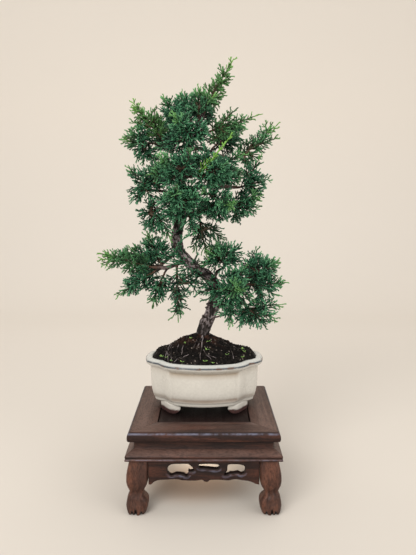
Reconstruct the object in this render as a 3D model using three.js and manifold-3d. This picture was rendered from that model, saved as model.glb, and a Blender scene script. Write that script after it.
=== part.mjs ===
// Kishu juniper bonsai in a cream glazed mokko pot, on a small hardwood display stand.
// Millimetres, +Z up, the front faces -Y. Everything is first laid out about the point on the
// surface below the middle of the stand, and the whole group is then moved so that the origin
// is below the middle of the object's box.

import * as THREE from 'three';
import Module from 'manifold-3d';
import { mergeVertices } from 'three/addons/utils/BufferGeometryUtils.js';

// Stand: a flat top 150 x 140 on four carved legs
const STAND_HALF_WIDTH = 75;
const STAND_HALF_DEPTH = 70;
const STAND_HEIGHT = 88;
const FRAME_WIDTH = 26;
const FRAME_THICKNESS = 9;
const RAIL_DROP = 1.5;
const TONGUE_REACH = 3.6;
const GROOVE_REACH = 4.4;
const PANEL_PLAY = 0.4;
const PANEL_DROP = 0.5;
const MITRE_GAP = 0.2;
const JOINT_GAP = 0.3;
const MOULDING_BOTTOM = 58.6;
const APRON_THICKNESS = 6;
const APRON_SET_BACK = 0.5;
const APRON_HALF_LENGTH = 56.5;
const LEG_FOOT = { face: 78.6, centre: 68.4 };
const CLAW_NOTCH = { halfWidth: 1.2, height: 6, depth: 2.6, places: [-4.9, 0.7, 4.4] };

// Pot: mokko outline at the rim, 132.6 x 98, wall and lip measured inwards from it
const POT_CENTRE = new THREE.Vector2(0, 8);
const RIM_END = 66.3;
const RIM_FRONT = 49;
const RIM_FRONT_KINK = new THREE.Vector2(37, 42);
const RIM_END_KINK = new THREE.Vector2(50, 28.6);
const RIM_SHOULDER = new THREE.Vector2(63.6, 17.5);
const CORNER_BULGE = 1.2;
const SHOULDER_BULGE = 1;
const RIM_HEIGHT = 144;
const PANEL_RECESS = 1.3;
const DRAIN_RADIUS = 6;
const DRAIN_SPACING = 24;
const FOOT_HEIGHT = 9.5;
const SCREEN_SIZE = 16;
const SCREEN_THICKNESS = 0.9;

// Soil: a mound that rises from just below the rim to the foot of the trunk
const SOIL_EDGE = 144.2;
const SOIL_RISE = 29;
const SOIL_BROW = 4.5;
const SOIL_EDGE_INSET = 8.6;
const TRUNK_SOCKET = { radius: 8.9, bottom: 152 };

// Tree: thicknesses and the spacing of the foliage
const TRUNK_RADII = [7.4, 7.2, 6.9, 6.5, 6.5, 6.4, 6.3, 6.2, 6, 5.9, 5.7, 5.5, 5.2, 4.9, 4.6,
  4.4, 4.1, 3.8, 3.4, 2.9, 2.3, 1.7];
const TRUNK_SIDES = 8;
const TRUNK_STEP = 7.5;
const ROOT_RISE = 0.6;
const ROOT_THICK = 1.3;
const ROOT_THIN = 0.7;
const ROOT_STEPS = 6;
const ROOT_RADIUS = 7.9;
const TWIG_RADIUS = 1.25;
const LEADER_RADIUS = 1.45;
const RING_SPACING = 7.9;
const SHOOT_BASE_RADIUS = 1.05;
const LONG_SHOOT = 18;
const SHORT_SHOOT = 4.5;
const LEANS = [0, 14, -12, 28];
const SHORTEST_SHOOT = 3;
const EDGE_RADIUS = 0.4;
const OUTER_PART = 0.45;
const NODE_CLEARANCE = 0.4;
const SHOOT_CLEARANCE = 0.1;
const SEED = 20431;

const wasm = await Module();
wasm.setup();

const v2 = (x, y) => new THREE.Vector2(x, y);
const v3 = (x, y, z) => new THREE.Vector3(x, y, z);
const UP = v3(0, 0, 1);

const WOOD = new THREE.MeshStandardMaterial({ color: 0x4a2d26, roughness: 0.5, metalness: 0 });
const GLAZE = new THREE.MeshStandardMaterial({ color: 0xd8d2c4, roughness: 0.25, metalness: 0 });
const SOIL = new THREE.MeshStandardMaterial({ color: 0x17130f, roughness: 0.95, metalness: 0 });
const BARK = new THREE.MeshStandardMaterial({ color: 0x5d4a42, roughness: 0.9, metalness: 0 });
const SCREEN = new THREE.MeshStandardMaterial({ color: 0x20242a, roughness: 0.6, metalness: 0 });
const LEAF = new THREE.MeshStandardMaterial({ color: 0x1f6a48, roughness: 0.7, metalness: 0 });
const FRESH_LEAF = new THREE.MeshStandardMaterial({ color: 0x6fae3a, roughness: 0.7, metalness: 0 });

// Seeded random numbers from 0 to 1, the same in every run
function seededRandom(seed) {
  let state = seed >>> 0;
  return () => {
    state = (state + 0x6d2b79f5) >>> 0;
    let t = state;
    t = Math.imul(t ^ (t >>> 15), t | 1);
    t ^= t + Math.imul(t ^ (t >>> 7), t | 61);
    return ((t ^ (t >>> 14)) >>> 0) / 4294967296;
  };
}

// Closed geometry from vertices and triangles
function facetGeometry(vertices, faces) {
  const geometry = new THREE.BufferGeometry();
  const numbers = vertices.flatMap((p) => p.toArray());
  geometry.setAttribute('position', new THREE.Float32BufferAttribute(numbers, 3));
  geometry.setIndex(faces.flat());
  return geometry;
}

// Triangles that close a flat ring, listed counter-clockwise about its own normal
function capFaces(ring) {
  const normal = v3(0, 0, 0);
  ring.forEach((p, i) => {
    const q = ring[(i + 1) % ring.length];
    normal.add(v3((p.y - q.y) * (p.z + q.z), (p.z - q.z) * (p.x + q.x), (p.x - q.x) * (p.y + q.y)));
  });
  normal.normalize();
  const across = v3(1, 0, 0).cross(normal);
  if (across.lengthSq() < 0.1) across.copy(v3(0, 1, 0).cross(normal));
  across.normalize();
  const along = normal.clone().cross(across);
  const flat = ring.map((p) => v2(p.dot(across), p.dot(along)));
  return THREE.ShapeUtils.triangulateShape(flat, []);
}

// Solid through a list of rings with equal numbers of points, closed at both ends
function loft(rings) {
  const n = rings[0].length;
  const faces = [];
  for (let r = 0; r + 1 < rings.length; r += 1) {
    for (let i = 0; i < n; i += 1) {
      const a = r * n + i;
      const b = r * n + ((i + 1) % n);
      faces.push([a, b, b + n], [a, b + n, a + n]);
    }
  }
  const last = (rings.length - 1) * n;
  capFaces(rings[0]).forEach(([a, b, c]) => faces.push([c, b, a]));
  capFaces(rings[rings.length - 1]).forEach(([a, b, c]) => faces.push([last + a, last + b, last + c]));
  return outwards(facetGeometry(rings.flat(), faces));
}

// Turns the triangles round when they enclose a negative volume
function outwards(geometry) {
  const p = geometry.attributes.position;
  const index = geometry.index.array;
  let volume = 0;
  for (let i = 0; i < index.length; i += 3) {
    const [a, b, c] = [0, 1, 2].map((k) => v3().fromBufferAttribute(p, index[i + k]));
    volume += a.dot(b.cross(c));
  }
  if (volume < 0) {
    for (let i = 0; i < index.length; i += 3) [index[i], index[i + 1]] = [index[i + 1], index[i]];
  }
  return geometry;
}

function toSolid(geometry) {
  const bare = geometry.clone();
  bare.deleteAttribute('normal');
  bare.deleteAttribute('uv');
  const merged = mergeVertices(bare, 1e-4);
  return new wasm.Manifold(new wasm.Mesh({
    numProp: 3,
    vertProperties: new Float32Array(merged.attributes.position.array),
    triVerts: new Uint32Array(merged.index.array),
  }));
}

function toGeometry(solid) {
  const mesh = solid.getMesh();
  const geometry = new THREE.BufferGeometry();
  geometry.setAttribute('position', new THREE.BufferAttribute(mesh.vertProperties, 3));
  geometry.setIndex(new THREE.BufferAttribute(mesh.triVerts, 1));
  return geometry;
}

const joined = (geometries) => toGeometry(geometries.map(toSolid).reduce((a, b) => a.add(b)));
const cutBy = (geometry, cutters) => toGeometry(
  cutters.map(toSolid).reduce((a, b) => a.subtract(b), toSolid(geometry)));

function namedMesh(name, geometry, material) {
  const mesh = new THREE.Mesh(geometry, material);
  mesh.name = name;
  return mesh;
}

// Upright prism with a regular section
function prism(x, y, radius, bottom, top, sides) {
  const ring = (z) => Array.from({ length: sides }, (unused, i) => {
    const angle = (2 * Math.PI * i) / sides;
    return v3(x + radius * Math.cos(angle), y + radius * Math.sin(angle), z);
  });
  return loft([ring(bottom), ring(top)]);
}

function box(x0, x1, y0, y1, z0, z1) {
  return new THREE.BoxGeometry(x1 - x0, y1 - y0, z1 - z0)
    .translate((x0 + x1) / 2, (y0 + y1) / 2, (z0 + z1) / 2);
}

// One side of a mitred rectangle: a profile of [outward offset, height] carried along the side
function mitredSide(profile, halfLength, halfOffset) {
  const end = (sign) => profile.map(
    ([out, z]) => v3(sign * (halfLength + out - MITRE_GAP), -(halfOffset + out), z));
  return loft([end(-1), end(1)]);
}

const SIDES = [
  { name: 'front', turn: 0, length: STAND_HALF_WIDTH, offset: STAND_HALF_DEPTH },
  { name: 'right', turn: Math.PI / 2, length: STAND_HALF_DEPTH, offset: STAND_HALF_WIDTH },
  { name: 'back', turn: Math.PI, length: STAND_HALF_WIDTH, offset: STAND_HALF_DEPTH },
  { name: 'left', turn: -Math.PI / 2, length: STAND_HALF_DEPTH, offset: STAND_HALF_WIDTH },
];

// Top frame: four mitred rails with a rounded outer edge that hangs a little over the waist, and
// a groove for the panel's tongue
function standFrame() {
  const top = STAND_HEIGHT;
  const bottom = top - FRAME_THICKNESS;
  const profile = [
    [0, top], [0.9, top - 0.8], [1.9, top - 2.4], [2.4, top - 4.6], [2.4, top - 7.4], [1.7, top - 9.4],
    [0.3, bottom - RAIL_DROP], [-3.3, bottom - RAIL_DROP], [-3.3, bottom],
    [-FRAME_WIDTH, bottom], [-FRAME_WIDTH, top - 6.4], [GROOVE_REACH - FRAME_WIDTH, top - 6.4],
    [GROOVE_REACH - FRAME_WIDTH, top - 2.6], [-FRAME_WIDTH, top - 2.6], [-FRAME_WIDTH, top],
  ];
  return SIDES.map((side) => {
    const rail = namedMesh(`top_rail_${side.name}`, mitredSide(profile, side.length, side.offset), WOOD);
    rail.rotation.z = side.turn;
    return rail;
  });
}

// Floating panel of the top, held by a tongue all round
function standPanel() {
  const w = STAND_HALF_WIDTH - FRAME_WIDTH - PANEL_PLAY;
  const d = STAND_HALF_DEPTH - FRAME_WIDTH - PANEL_PLAY;
  const reach = PANEL_PLAY + TONGUE_REACH;
  const ring = (grow, z) => [[1, 1], [-1, 1], [-1, -1], [1, -1]]
    .map(([sx, sy]) => v3(sx * (w + grow), sy * (d + grow), z));
  const top = STAND_HEIGHT;
  return namedMesh('top_panel', loft([
    ring(0, top - 7), ring(0, top - 6), ring(reach, top - 6), ring(reach, top - 3),
    ring(0, top - 3), ring(0, top - PANEL_DROP),
  ]), WOOD);
}

// Waist and shoulder below the top: four mitred mouldings
function standMouldings() {
  const top = STAND_HEIGHT - FRAME_THICKNESS - JOINT_GAP;
  const profile = [
    [-4, top], [-4, 68.8], [-3.2, 68.6], [3.8, 64.3], [4.5, 63.2], [4, 61.4], [4.7, 60.6],
    [4.7, 59.1], [4, MOULDING_BOTTOM], [-12, MOULDING_BOTTOM], [-12, top],
  ];
  return SIDES.map((side) => {
    const strip = namedMesh(`moulding_${side.name}`, mitredSide(profile, side.length, side.offset), WOOD);
    strip.rotation.z = side.turn;
    return strip;
  });
}

// Cabriole leg: a square section whose outer and inner faces swell at the knee and the foot
const LEG_LEVELS = [
  { z: 0, outer: 78, inner: 60.6, round: 4.4 },
  { z: 1.3, outer: 78.7, inner: 59.4, round: 4.3 },
  { z: 5, outer: 79.4, inner: 58, round: 3.9 },
  { z: 10, outer: 79.8, inner: 57.1, round: 3.5 },
  { z: 14, outer: 79.2, inner: 57.3, round: 3.2 },
  { z: 17.5, outer: 78.7, inner: 59.4, round: 2.9 },
  { z: 20.8, outer: 77.3, inner: 62, round: 2.6 },
  { z: 24, outer: 76.1, inner: 61.9, round: 2.3 },
  { z: 27.3, outer: 77.2, inner: 60.4, round: 2.1 },
  { z: 31, outer: 78.5, inner: 58.4, round: 1.9 },
  { z: 36, outer: 79.3, inner: 57, round: 1.7 },
  { z: 42, outer: 79, inner: 57, round: 1.5 },
  { z: 49, outer: 77.8, inner: 57, round: 1.3 },
  { z: MOULDING_BOTTOM - JOINT_GAP, outer: 75.6, inner: 57, round: 1.2 },
];

function standLegs() {
  const inset = STAND_HALF_WIDTH - STAND_HALF_DEPTH;
  const ring = ({ z, outer, inner, round }) => [
    [outer - round, outer], [outer, outer - round], [outer, inner + round], [outer - round, inner],
    [inner + round, inner], [inner, inner + round], [inner, outer - round], [inner + round, outer],
  ].map(([x, y]) => v3(x, y - inset, z));
  const { halfWidth, height, depth, places } = CLAW_NOTCH;
  const wedge = (depthIn, depthOut) => loft([depthIn, depthOut].map((d) => [
    v3(-halfWidth, d, -1), v3(halfWidth, d, -1), v3(0, d, height),
  ]));
  const { face, centre } = LEG_FOOT;
  const notches = places.flatMap((shift) => [
    wedge(face - inset - depth, 2 * face).translate(centre + shift, 0, 0),
    wedge(face - depth, 2 * face).rotateZ(-Math.PI / 2).translate(0, centre - inset + shift, 0),
  ]);
  const leg = cutBy(loft(LEG_LEVELS.map(ring)), notches);
  const corners = [
    ['back_right', 1, 1], ['back_left', -1, 1], ['front_left', -1, -1], ['front_right', 1, -1],
  ];
  return corners.map(([name, sx, sy]) => {
    const shape = outwards(leg.clone().scale(sx, sy, 1));
    return namedMesh(`leg_${name}`, shape, WOOD);
  });
}

// Apron: a scalloped board between two legs with three cloud-shaped openings, drawn for the
// front and drawn narrower for the sides
const APRON_EDGE = [
  [-56.5, 31.6], [-53.4, 31.8], [-50.5, 34.6], [-45, 36.4], [-36, 36.9], [-29, 37.3], [-20, 36],
  [-9, 35.7], [-2, 36.5], [0.5, 34.9], [2.5, 34.2], [4.7, 34.9], [7, 36.5], [16, 36.6], [25, 36],
  [32, 37.2], [40, 36.1], [47, 34.9], [53.4, 32.1], [56.5, 31.6],
];
const APRON_OPENINGS = [
  [[-37.1, 47.3], [-36.6, 50.9], [-32.7, 53.2], [-24.9, 53.8], [-16, 53.4], [-14.6, 50.9], [-10.4, 47.9],
    [-11.5, 46.2], [-16.4, 46.2], [-16, 42.6], [-17.6, 41.7], [-20.4, 42.9], [-24.9, 44.4],
    [-27.1, 43.2], [-30.5, 44], [-33.8, 42.9], [-36.6, 45]],
  [[-5.4, 51.4], [-4.8, 53.2], [5.2, 53.7], [14.7, 53], [15.5, 50.3], [13.6, 48.3], [7.5, 48.7],
    [0.8, 49.5], [-4.2, 49.7]],
  [[24.2, 51.4], [25.3, 53], [33.1, 53.4], [40.4, 52], [42, 48.5], [40.9, 44.4], [37.6, 43.2],
    [34.8, 44.7], [29.8, 43.8], [27, 43.9], [24.2, 42.4], [21.4, 42], [20.8, 43.2], [23.6, 46.2]],
];

function standAprons() {
  const top = MOULDING_BOTTOM - JOINT_GAP;
  const inset = STAND_HALF_WIDTH - STAND_HALF_DEPTH;
  return SIDES.map((side, i) => {
    const squeeze = i % 2 === 0 ? 1 : (APRON_HALF_LENGTH - inset) / APRON_HALF_LENGTH;
    const place = ([x, z]) => v2(x * squeeze, z);
    const ends = [place([APRON_HALF_LENGTH, top]), place([-APRON_HALF_LENGTH, top])];
    const outline = [...APRON_EDGE.map(place), ...ends];
    const shape = new THREE.Shape(outline);
    shape.holes = APRON_OPENINGS.map((hole) => new THREE.Path(hole.map(place)));
    const board = new THREE.ExtrudeGeometry(shape, { depth: APRON_THICKNESS, bevelEnabled: false })
      .rotateX(Math.PI / 2)
      .translate(0, -(side.offset - APRON_SET_BACK) + APRON_THICKNESS, 0);
    const apron = namedMesh(`apron_${side.name}`, board, WOOD);
    apron.rotation.z = side.turn;
    return apron;
  });
}

// Points of a circular arc from a to b that bulges by the given height to the right of a-b
function arc(a, b, bulge, steps) {
  const chord = b.clone().sub(a);
  const half = chord.length() / 2;
  const radius = (half * half + bulge * bulge) / (2 * bulge);
  const normal = v2(chord.y, -chord.x).normalize();
  const centre = a.clone().add(b).multiplyScalar(0.5).addScaledVector(normal, bulge - radius);
  const start = Math.atan2(a.y - centre.y, a.x - centre.x);
  let sweep = Math.atan2(b.y - centre.y, b.x - centre.x) - start;
  if (sweep < 0) sweep += 2 * Math.PI;
  return Array.from({ length: steps }, (unused, i) => {
    const angle = start + (sweep * i) / steps;
    return v2(centre.x + radius * Math.cos(angle), centre.y + radius * Math.sin(angle));
  });
}

// Rim of the pot seen from above, counter-clockwise from the left end of the front
function rimOutline() {
  const quarter = [RIM_FRONT_KINK, RIM_END_KINK, RIM_SHOULDER];
  const corners = [[1, -1], [1, 1], [-1, 1], [-1, -1]].flatMap(([sx, sy], i) => {
    const placed = quarter.map((p) => v2(sx * p.x, sy * p.y));
    return i % 2 === 0 ? placed : placed.reverse();
  });
  const spans = [
    [CORNER_BULGE, 2], [SHOULDER_BULGE, 2], [RIM_END - RIM_SHOULDER.x, 3], [SHOULDER_BULGE, 2],
    [CORNER_BULGE, 2], [RIM_FRONT - RIM_FRONT_KINK.y, 6],
  ];
  return corners.flatMap((p, i) => arc(p, corners[(i + 1) % corners.length], ...spans[i % spans.length]));
}

const RIM = rimOutline();
const RIM_NORMALS = RIM.map((p, i) => {
  const before = RIM[(i + RIM.length - 1) % RIM.length];
  const after = RIM[(i + 1) % RIM.length];
  return v2(after.y - before.y, before.x - after.x).normalize();
});

// Ring of the pot at a height, drawn in from the rim; the panels of the long sides go deeper
function potRing(inset, z, recess = 0) {
  return RIM.map((p, i) => {
    const onPanel = Math.abs(p.x) < RIM_FRONT_KINK.x - 1 && Math.abs(p.y) > RIM_FRONT_KINK.y;
    const q = p.clone().addScaledVector(RIM_NORMALS[i], -inset - (onPanel ? recess : 0));
    return v3(POT_CENTRE.x + q.x, POT_CENTRE.y + q.y, z);
  });
}

// Pot: slip-cast shell with a lip, recessed long sides, a foot band and four bracket feet
function pot() {
  const shell = loft([
    potRing(17, 97), potRing(12.4, 97.4), potRing(10.1, 99), potRing(9.5, 101.6), potRing(8.2, 103.8),
    potRing(7.3, 106.2, PANEL_RECESS), potRing(5.8, 118, PANEL_RECESS), potRing(5.4, 135.5, PANEL_RECESS),
    potRing(5.2, 136.8), potRing(0.7, 140.6), potRing(0, RIM_HEIGHT), potRing(7, RIM_HEIGHT + 2.4),
    potRing(8.2, RIM_HEIGHT), potRing(11, 112), potRing(14.6, 103.5), potRing(21, 100),
  ]);
  const feet = [[1, 1], [-1, 1], [-1, -1], [1, -1]].map(([sx, sy]) => potFoot(sx, sy));
  const drains = [-1, 1].map((side) => prism(
    POT_CENTRE.x + side * DRAIN_SPACING, POT_CENTRE.y, DRAIN_RADIUS, 80, 103, 10));
  return namedMesh('pot', cutBy(joined([shell, ...feet]), drains), GLAZE);
}

// Bracket foot below one corner of the pot, sunk into the base
function potFoot(sx, sy) {
  const outline = [[26, -30.6], [31, -31.4], [36.5, -29.6], [41, -24.6], [44.6, -19], [48.6, -13.6],
    [45.5, -11.5], [40, -13.5], [35, -19.5], [30, -23.5], [27, -26]];
  const ring = (shrink, z) => outline.map(([x, y]) => v3(
    POT_CENTRE.x + sx * (38 + (x - 38) * shrink), POT_CENTRE.y - sy * (-22 + (y + 22) * shrink), z));
  const seat = STAND_HEIGHT - PANEL_DROP + JOINT_GAP;
  return loft([ring(0.88, seat), ring(1, seat + 1.6), ring(1, seat + FOOT_HEIGHT + 1.2)]);
}

// Mesh square over each drain hole, under the soil
function drainScreens() {
  const half = SCREEN_SIZE / 2;
  const bottom = 100 + JOINT_GAP;
  return [['left', -1], ['right', 1]].map(([name, side]) => {
    const x = POT_CENTRE.x + side * DRAIN_SPACING;
    const y = POT_CENTRE.y;
    const cell = SCREEN_SIZE / 3;
    const holes = [-0.5, 0.5].flatMap((i) => [-0.5, 0.5].map((j) => box(
      x + (i - 0.36) * cell, x + (i + 0.36) * cell, y + (j - 0.36) * cell, y + (j + 0.36) * cell,
      bottom - 1, bottom + SCREEN_THICKNESS + 1)));
    const sheet = box(x - half, x + half, y - half, y + half, bottom, bottom + SCREEN_THICKNESS);
    return namedMesh(`drain_screen_${name}`, cutBy(sheet, holes), SCREEN);
  });
}

// Height of the soil at a place: highest at the trunk, falling to the rim, lumpy between
function soilHeight(reach, angle) {
  const lumps = 1.1 * Math.sin(3 * angle + 5 * reach) + 0.8 * Math.sin(7 * angle - 9 * reach);
  const leftShoulder = 4 * Math.max(0, -Math.cos(angle)) * Math.sin(Math.PI * reach);
  const brow = SOIL_BROW * Math.sin(Math.PI * reach ** 9);
  const slope = SOIL_RISE * (1 - reach) ** 0.95;
  return SOIL_EDGE + slope + brow + leftShoulder - lumps * Math.sin(Math.PI * reach);
}

function soilMound() {
  const middle = v2(-1, POT_CENTRE.y);
  const edge = potRing(SOIL_EDGE_INSET, SOIL_EDGE);
  const topRing = (reach) => edge.map((p) => {
    const x = middle.x + (p.x - middle.x) * reach;
    const y = middle.y + (p.y - middle.y) * reach;
    return v3(x, y, soilHeight(reach, Math.atan2(p.y - middle.y, p.x - middle.x)));
  });
  const floor = 100 + JOINT_GAP;
  return loft([
    potRing(22, floor), potRing(15.2, 104), potRing(11.5, 112.2), edge,
    ...[0.98, 0.92, 0.82, 0.66, 0.48, 0.3, 0.13].map(topRing),
  ]);
}

// Soil with the trunk's socket in its top and a pocket over each drain screen
function soil(mound) {
  const floor = 100 + JOINT_GAP;
  const half = SCREEN_SIZE / 2 + JOINT_GAP;
  const pockets = [-1, 1].map((side) => {
    const x = POT_CENTRE.x + side * DRAIN_SPACING;
    const top = floor + SCREEN_THICKNESS + JOINT_GAP;
    return box(x - half, x + half, POT_CENTRE.y - half, POT_CENTRE.y + half, floor - 2, top);
  });
  const socket = prism(-1, POT_CENTRE.y, TRUNK_SOCKET.radius, TRUNK_SOCKET.bottom, 200, 12);
  return namedMesh('soil', cutBy(mound, [...pockets, socket]), SOIL);
}

// The tree's centre lines: the trunk, then the limbs that leave it at a place along its length
const TRUNK_LINE = [
  [-1, 8, 174], [3, 8, 184], [8, 8, 195], [11, 8, 207], [13, 9, 218], [10, 9, 228], [4, 9, 236],
  [-5, 8, 243], [-15, 8, 250], [-22, 8, 258], [-28, 8, 266], [-30, 9, 276], [-29, 9, 290], [-25, 9, 305],
  [-23, 8, 320], [-24, 8, 335], [-25, 8, 350], [-22, 8, 365], [-15, 8, 380], [-9, 8, 395], [-3, 8, 408],
  [0, 8, 413],
];
const LIMBS = {
  low_left: { points: [[-20, 8, 255], [-30, 6, 250], [-41, 4, 246], [-52, 4, 246]], radii: [3.4, 1.9] },
  low_left_back: { points: [[-28, 9, 267], [-37, 17, 258], [-47, 24, 249]], radii: [2.4, 1.6] },
  low_right: { points: [[12, 8, 216], [22, 8, 221], [33, 6, 226], [45, 4, 228]], radii: [3.4, 1.8] },
  low_right_top: { points: [[9, 9, 229], [14, 10, 240], [22, 10, 246]], radii: [2.2, 1.4] },
  low_right_foot: { points: [[9, 8, 198], [20, 6, 203], [32, 3, 205], [40, 1, 206]], radii: [2, 1.4] },
  crown_left_low: { points: [[-27, 9, 298], [-36, 7, 304], [-44, 4, 309]], radii: [2.3, 1.5] },
  crown_right_low: { points: [[-26, 9, 301], [-13, 9, 306], [2, 9, 311], [18, 10, 316]], radii: [2.6, 1.6] },
  crown_left_mid: { points: [[-23, 8, 322], [-36, 6, 328], [-50, 5, 330]], radii: [2.3, 1.5] },
  crown_right_mid: { points: [[-24, 8, 330], [-8, 9, 334], [12, 9, 336], [32, 9, 334]], radii: [2.6, 1.5] },
  crown_front: { points: [[-24, 7, 340], [-20, -4, 343], [-14, -14, 345]], radii: [2.2, 1.5] },
  crown_back: { points: [[-24, 9, 342], [-22, 21, 346], [-16, 31, 350]], radii: [2.2, 1.5] },
  crown_left_high: { points: [[-23, 8, 360], [-34, 6, 370], [-46, 5, 378]], radii: [2.2, 1.5] },
  crown_right_high: { points: [[-17, 8, 375], [-3, 8, 375], [14, 9, 369], [29, 11, 365]], radii: [2.4, 1.5] },
};
const ROOTS = [
  [[2, 2], [4, -5], [3, -13], [1, -21]],
  [[3, -11], [8, -16], [12, -20]],
  [[-6, 5], [-16, -1], [-26, -6], [-34, -12]],
  [[-24, -5], [-29, -13], [-34, -18]],
  [[-7, 9], [-19, 10], [-30, 14]],
  [[5, 11], [14, 18], [22, 27]],
];

const curveThrough = (points) => new THREE.CatmullRomCurve3(
  points.map((p) => v3(...p)), false, 'centripetal');

// Round bar along a curve: radius(t) may also vary with the angle, for flutes
function barAlong(curve, steps, sides, radius) {
  const frames = curve.computeFrenetFrames(steps, false);
  return loft(Array.from({ length: steps + 1 }, (unused, i) => {
    const t = i / steps;
    const centre = curve.getPointAt(t);
    return Array.from({ length: sides }, (alsoUnused, k) => {
      const angle = (2 * Math.PI * k) / sides;
      const r = radius(t, angle);
      return centre.clone()
        .addScaledVector(frames.normals[i], r * Math.cos(angle))
        .addScaledVector(frames.binormals[i], r * Math.sin(angle));
    });
  }));
}

const taper = (start, end) => (t) => start + (end - start) * t;
const trunkCurve = curveThrough(TRUNK_LINE);

// The trunk swells and sinks in long twisted flutes; its foot goes straight down into the soil
function trunkRadius(t, angle) {
  const place = t * (TRUNK_RADII.length - 1);
  const i = Math.min(Math.floor(place), TRUNK_RADII.length - 2);
  const plain = TRUNK_RADII[i] + (TRUNK_RADII[i + 1] - TRUNK_RADII[i]) * (place - i);
  const flutes = 0.1 * Math.cos(2 * angle + 9 * t) + 0.08 * Math.cos(3 * angle - 17 * t);
  return plain * (1 + flutes + 0.05 * Math.sin(61 * t));
}

function trunkSolid() {
  const steps = Math.round(trunkCurve.getLength() / TRUNK_STEP);
  const foot = prism(-1, POT_CENTRE.y, ROOT_RADIUS, TRUNK_SOCKET.bottom + 2, 175, 10);
  return joined([barAlong(trunkCurve, steps, TRUNK_SIDES, trunkRadius), foot]);
}

// Surface root: runs out from the trunk, close above the soil all the way
function rootSolid(route, mound) {
  const plan = curveThrough(route.map(([x, y]) => [x, y, 0])).getSpacedPoints(ROOT_STEPS);
  const ray = new THREE.Raycaster();
  const ground = new THREE.Mesh(mound, SOIL);
  const points = plan.map((p) => {
    ray.set(v3(p.x, p.y, 300), v3(0, 0, -1));
    const [hit] = ray.intersectObject(ground);
    return [p.x, p.y, hit.point.z + ROOT_THICK + ROOT_RISE];
  });
  return barAlong(curveThrough(points), ROOT_STEPS, 4, taper(ROOT_THICK, ROOT_THIN));
}

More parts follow.
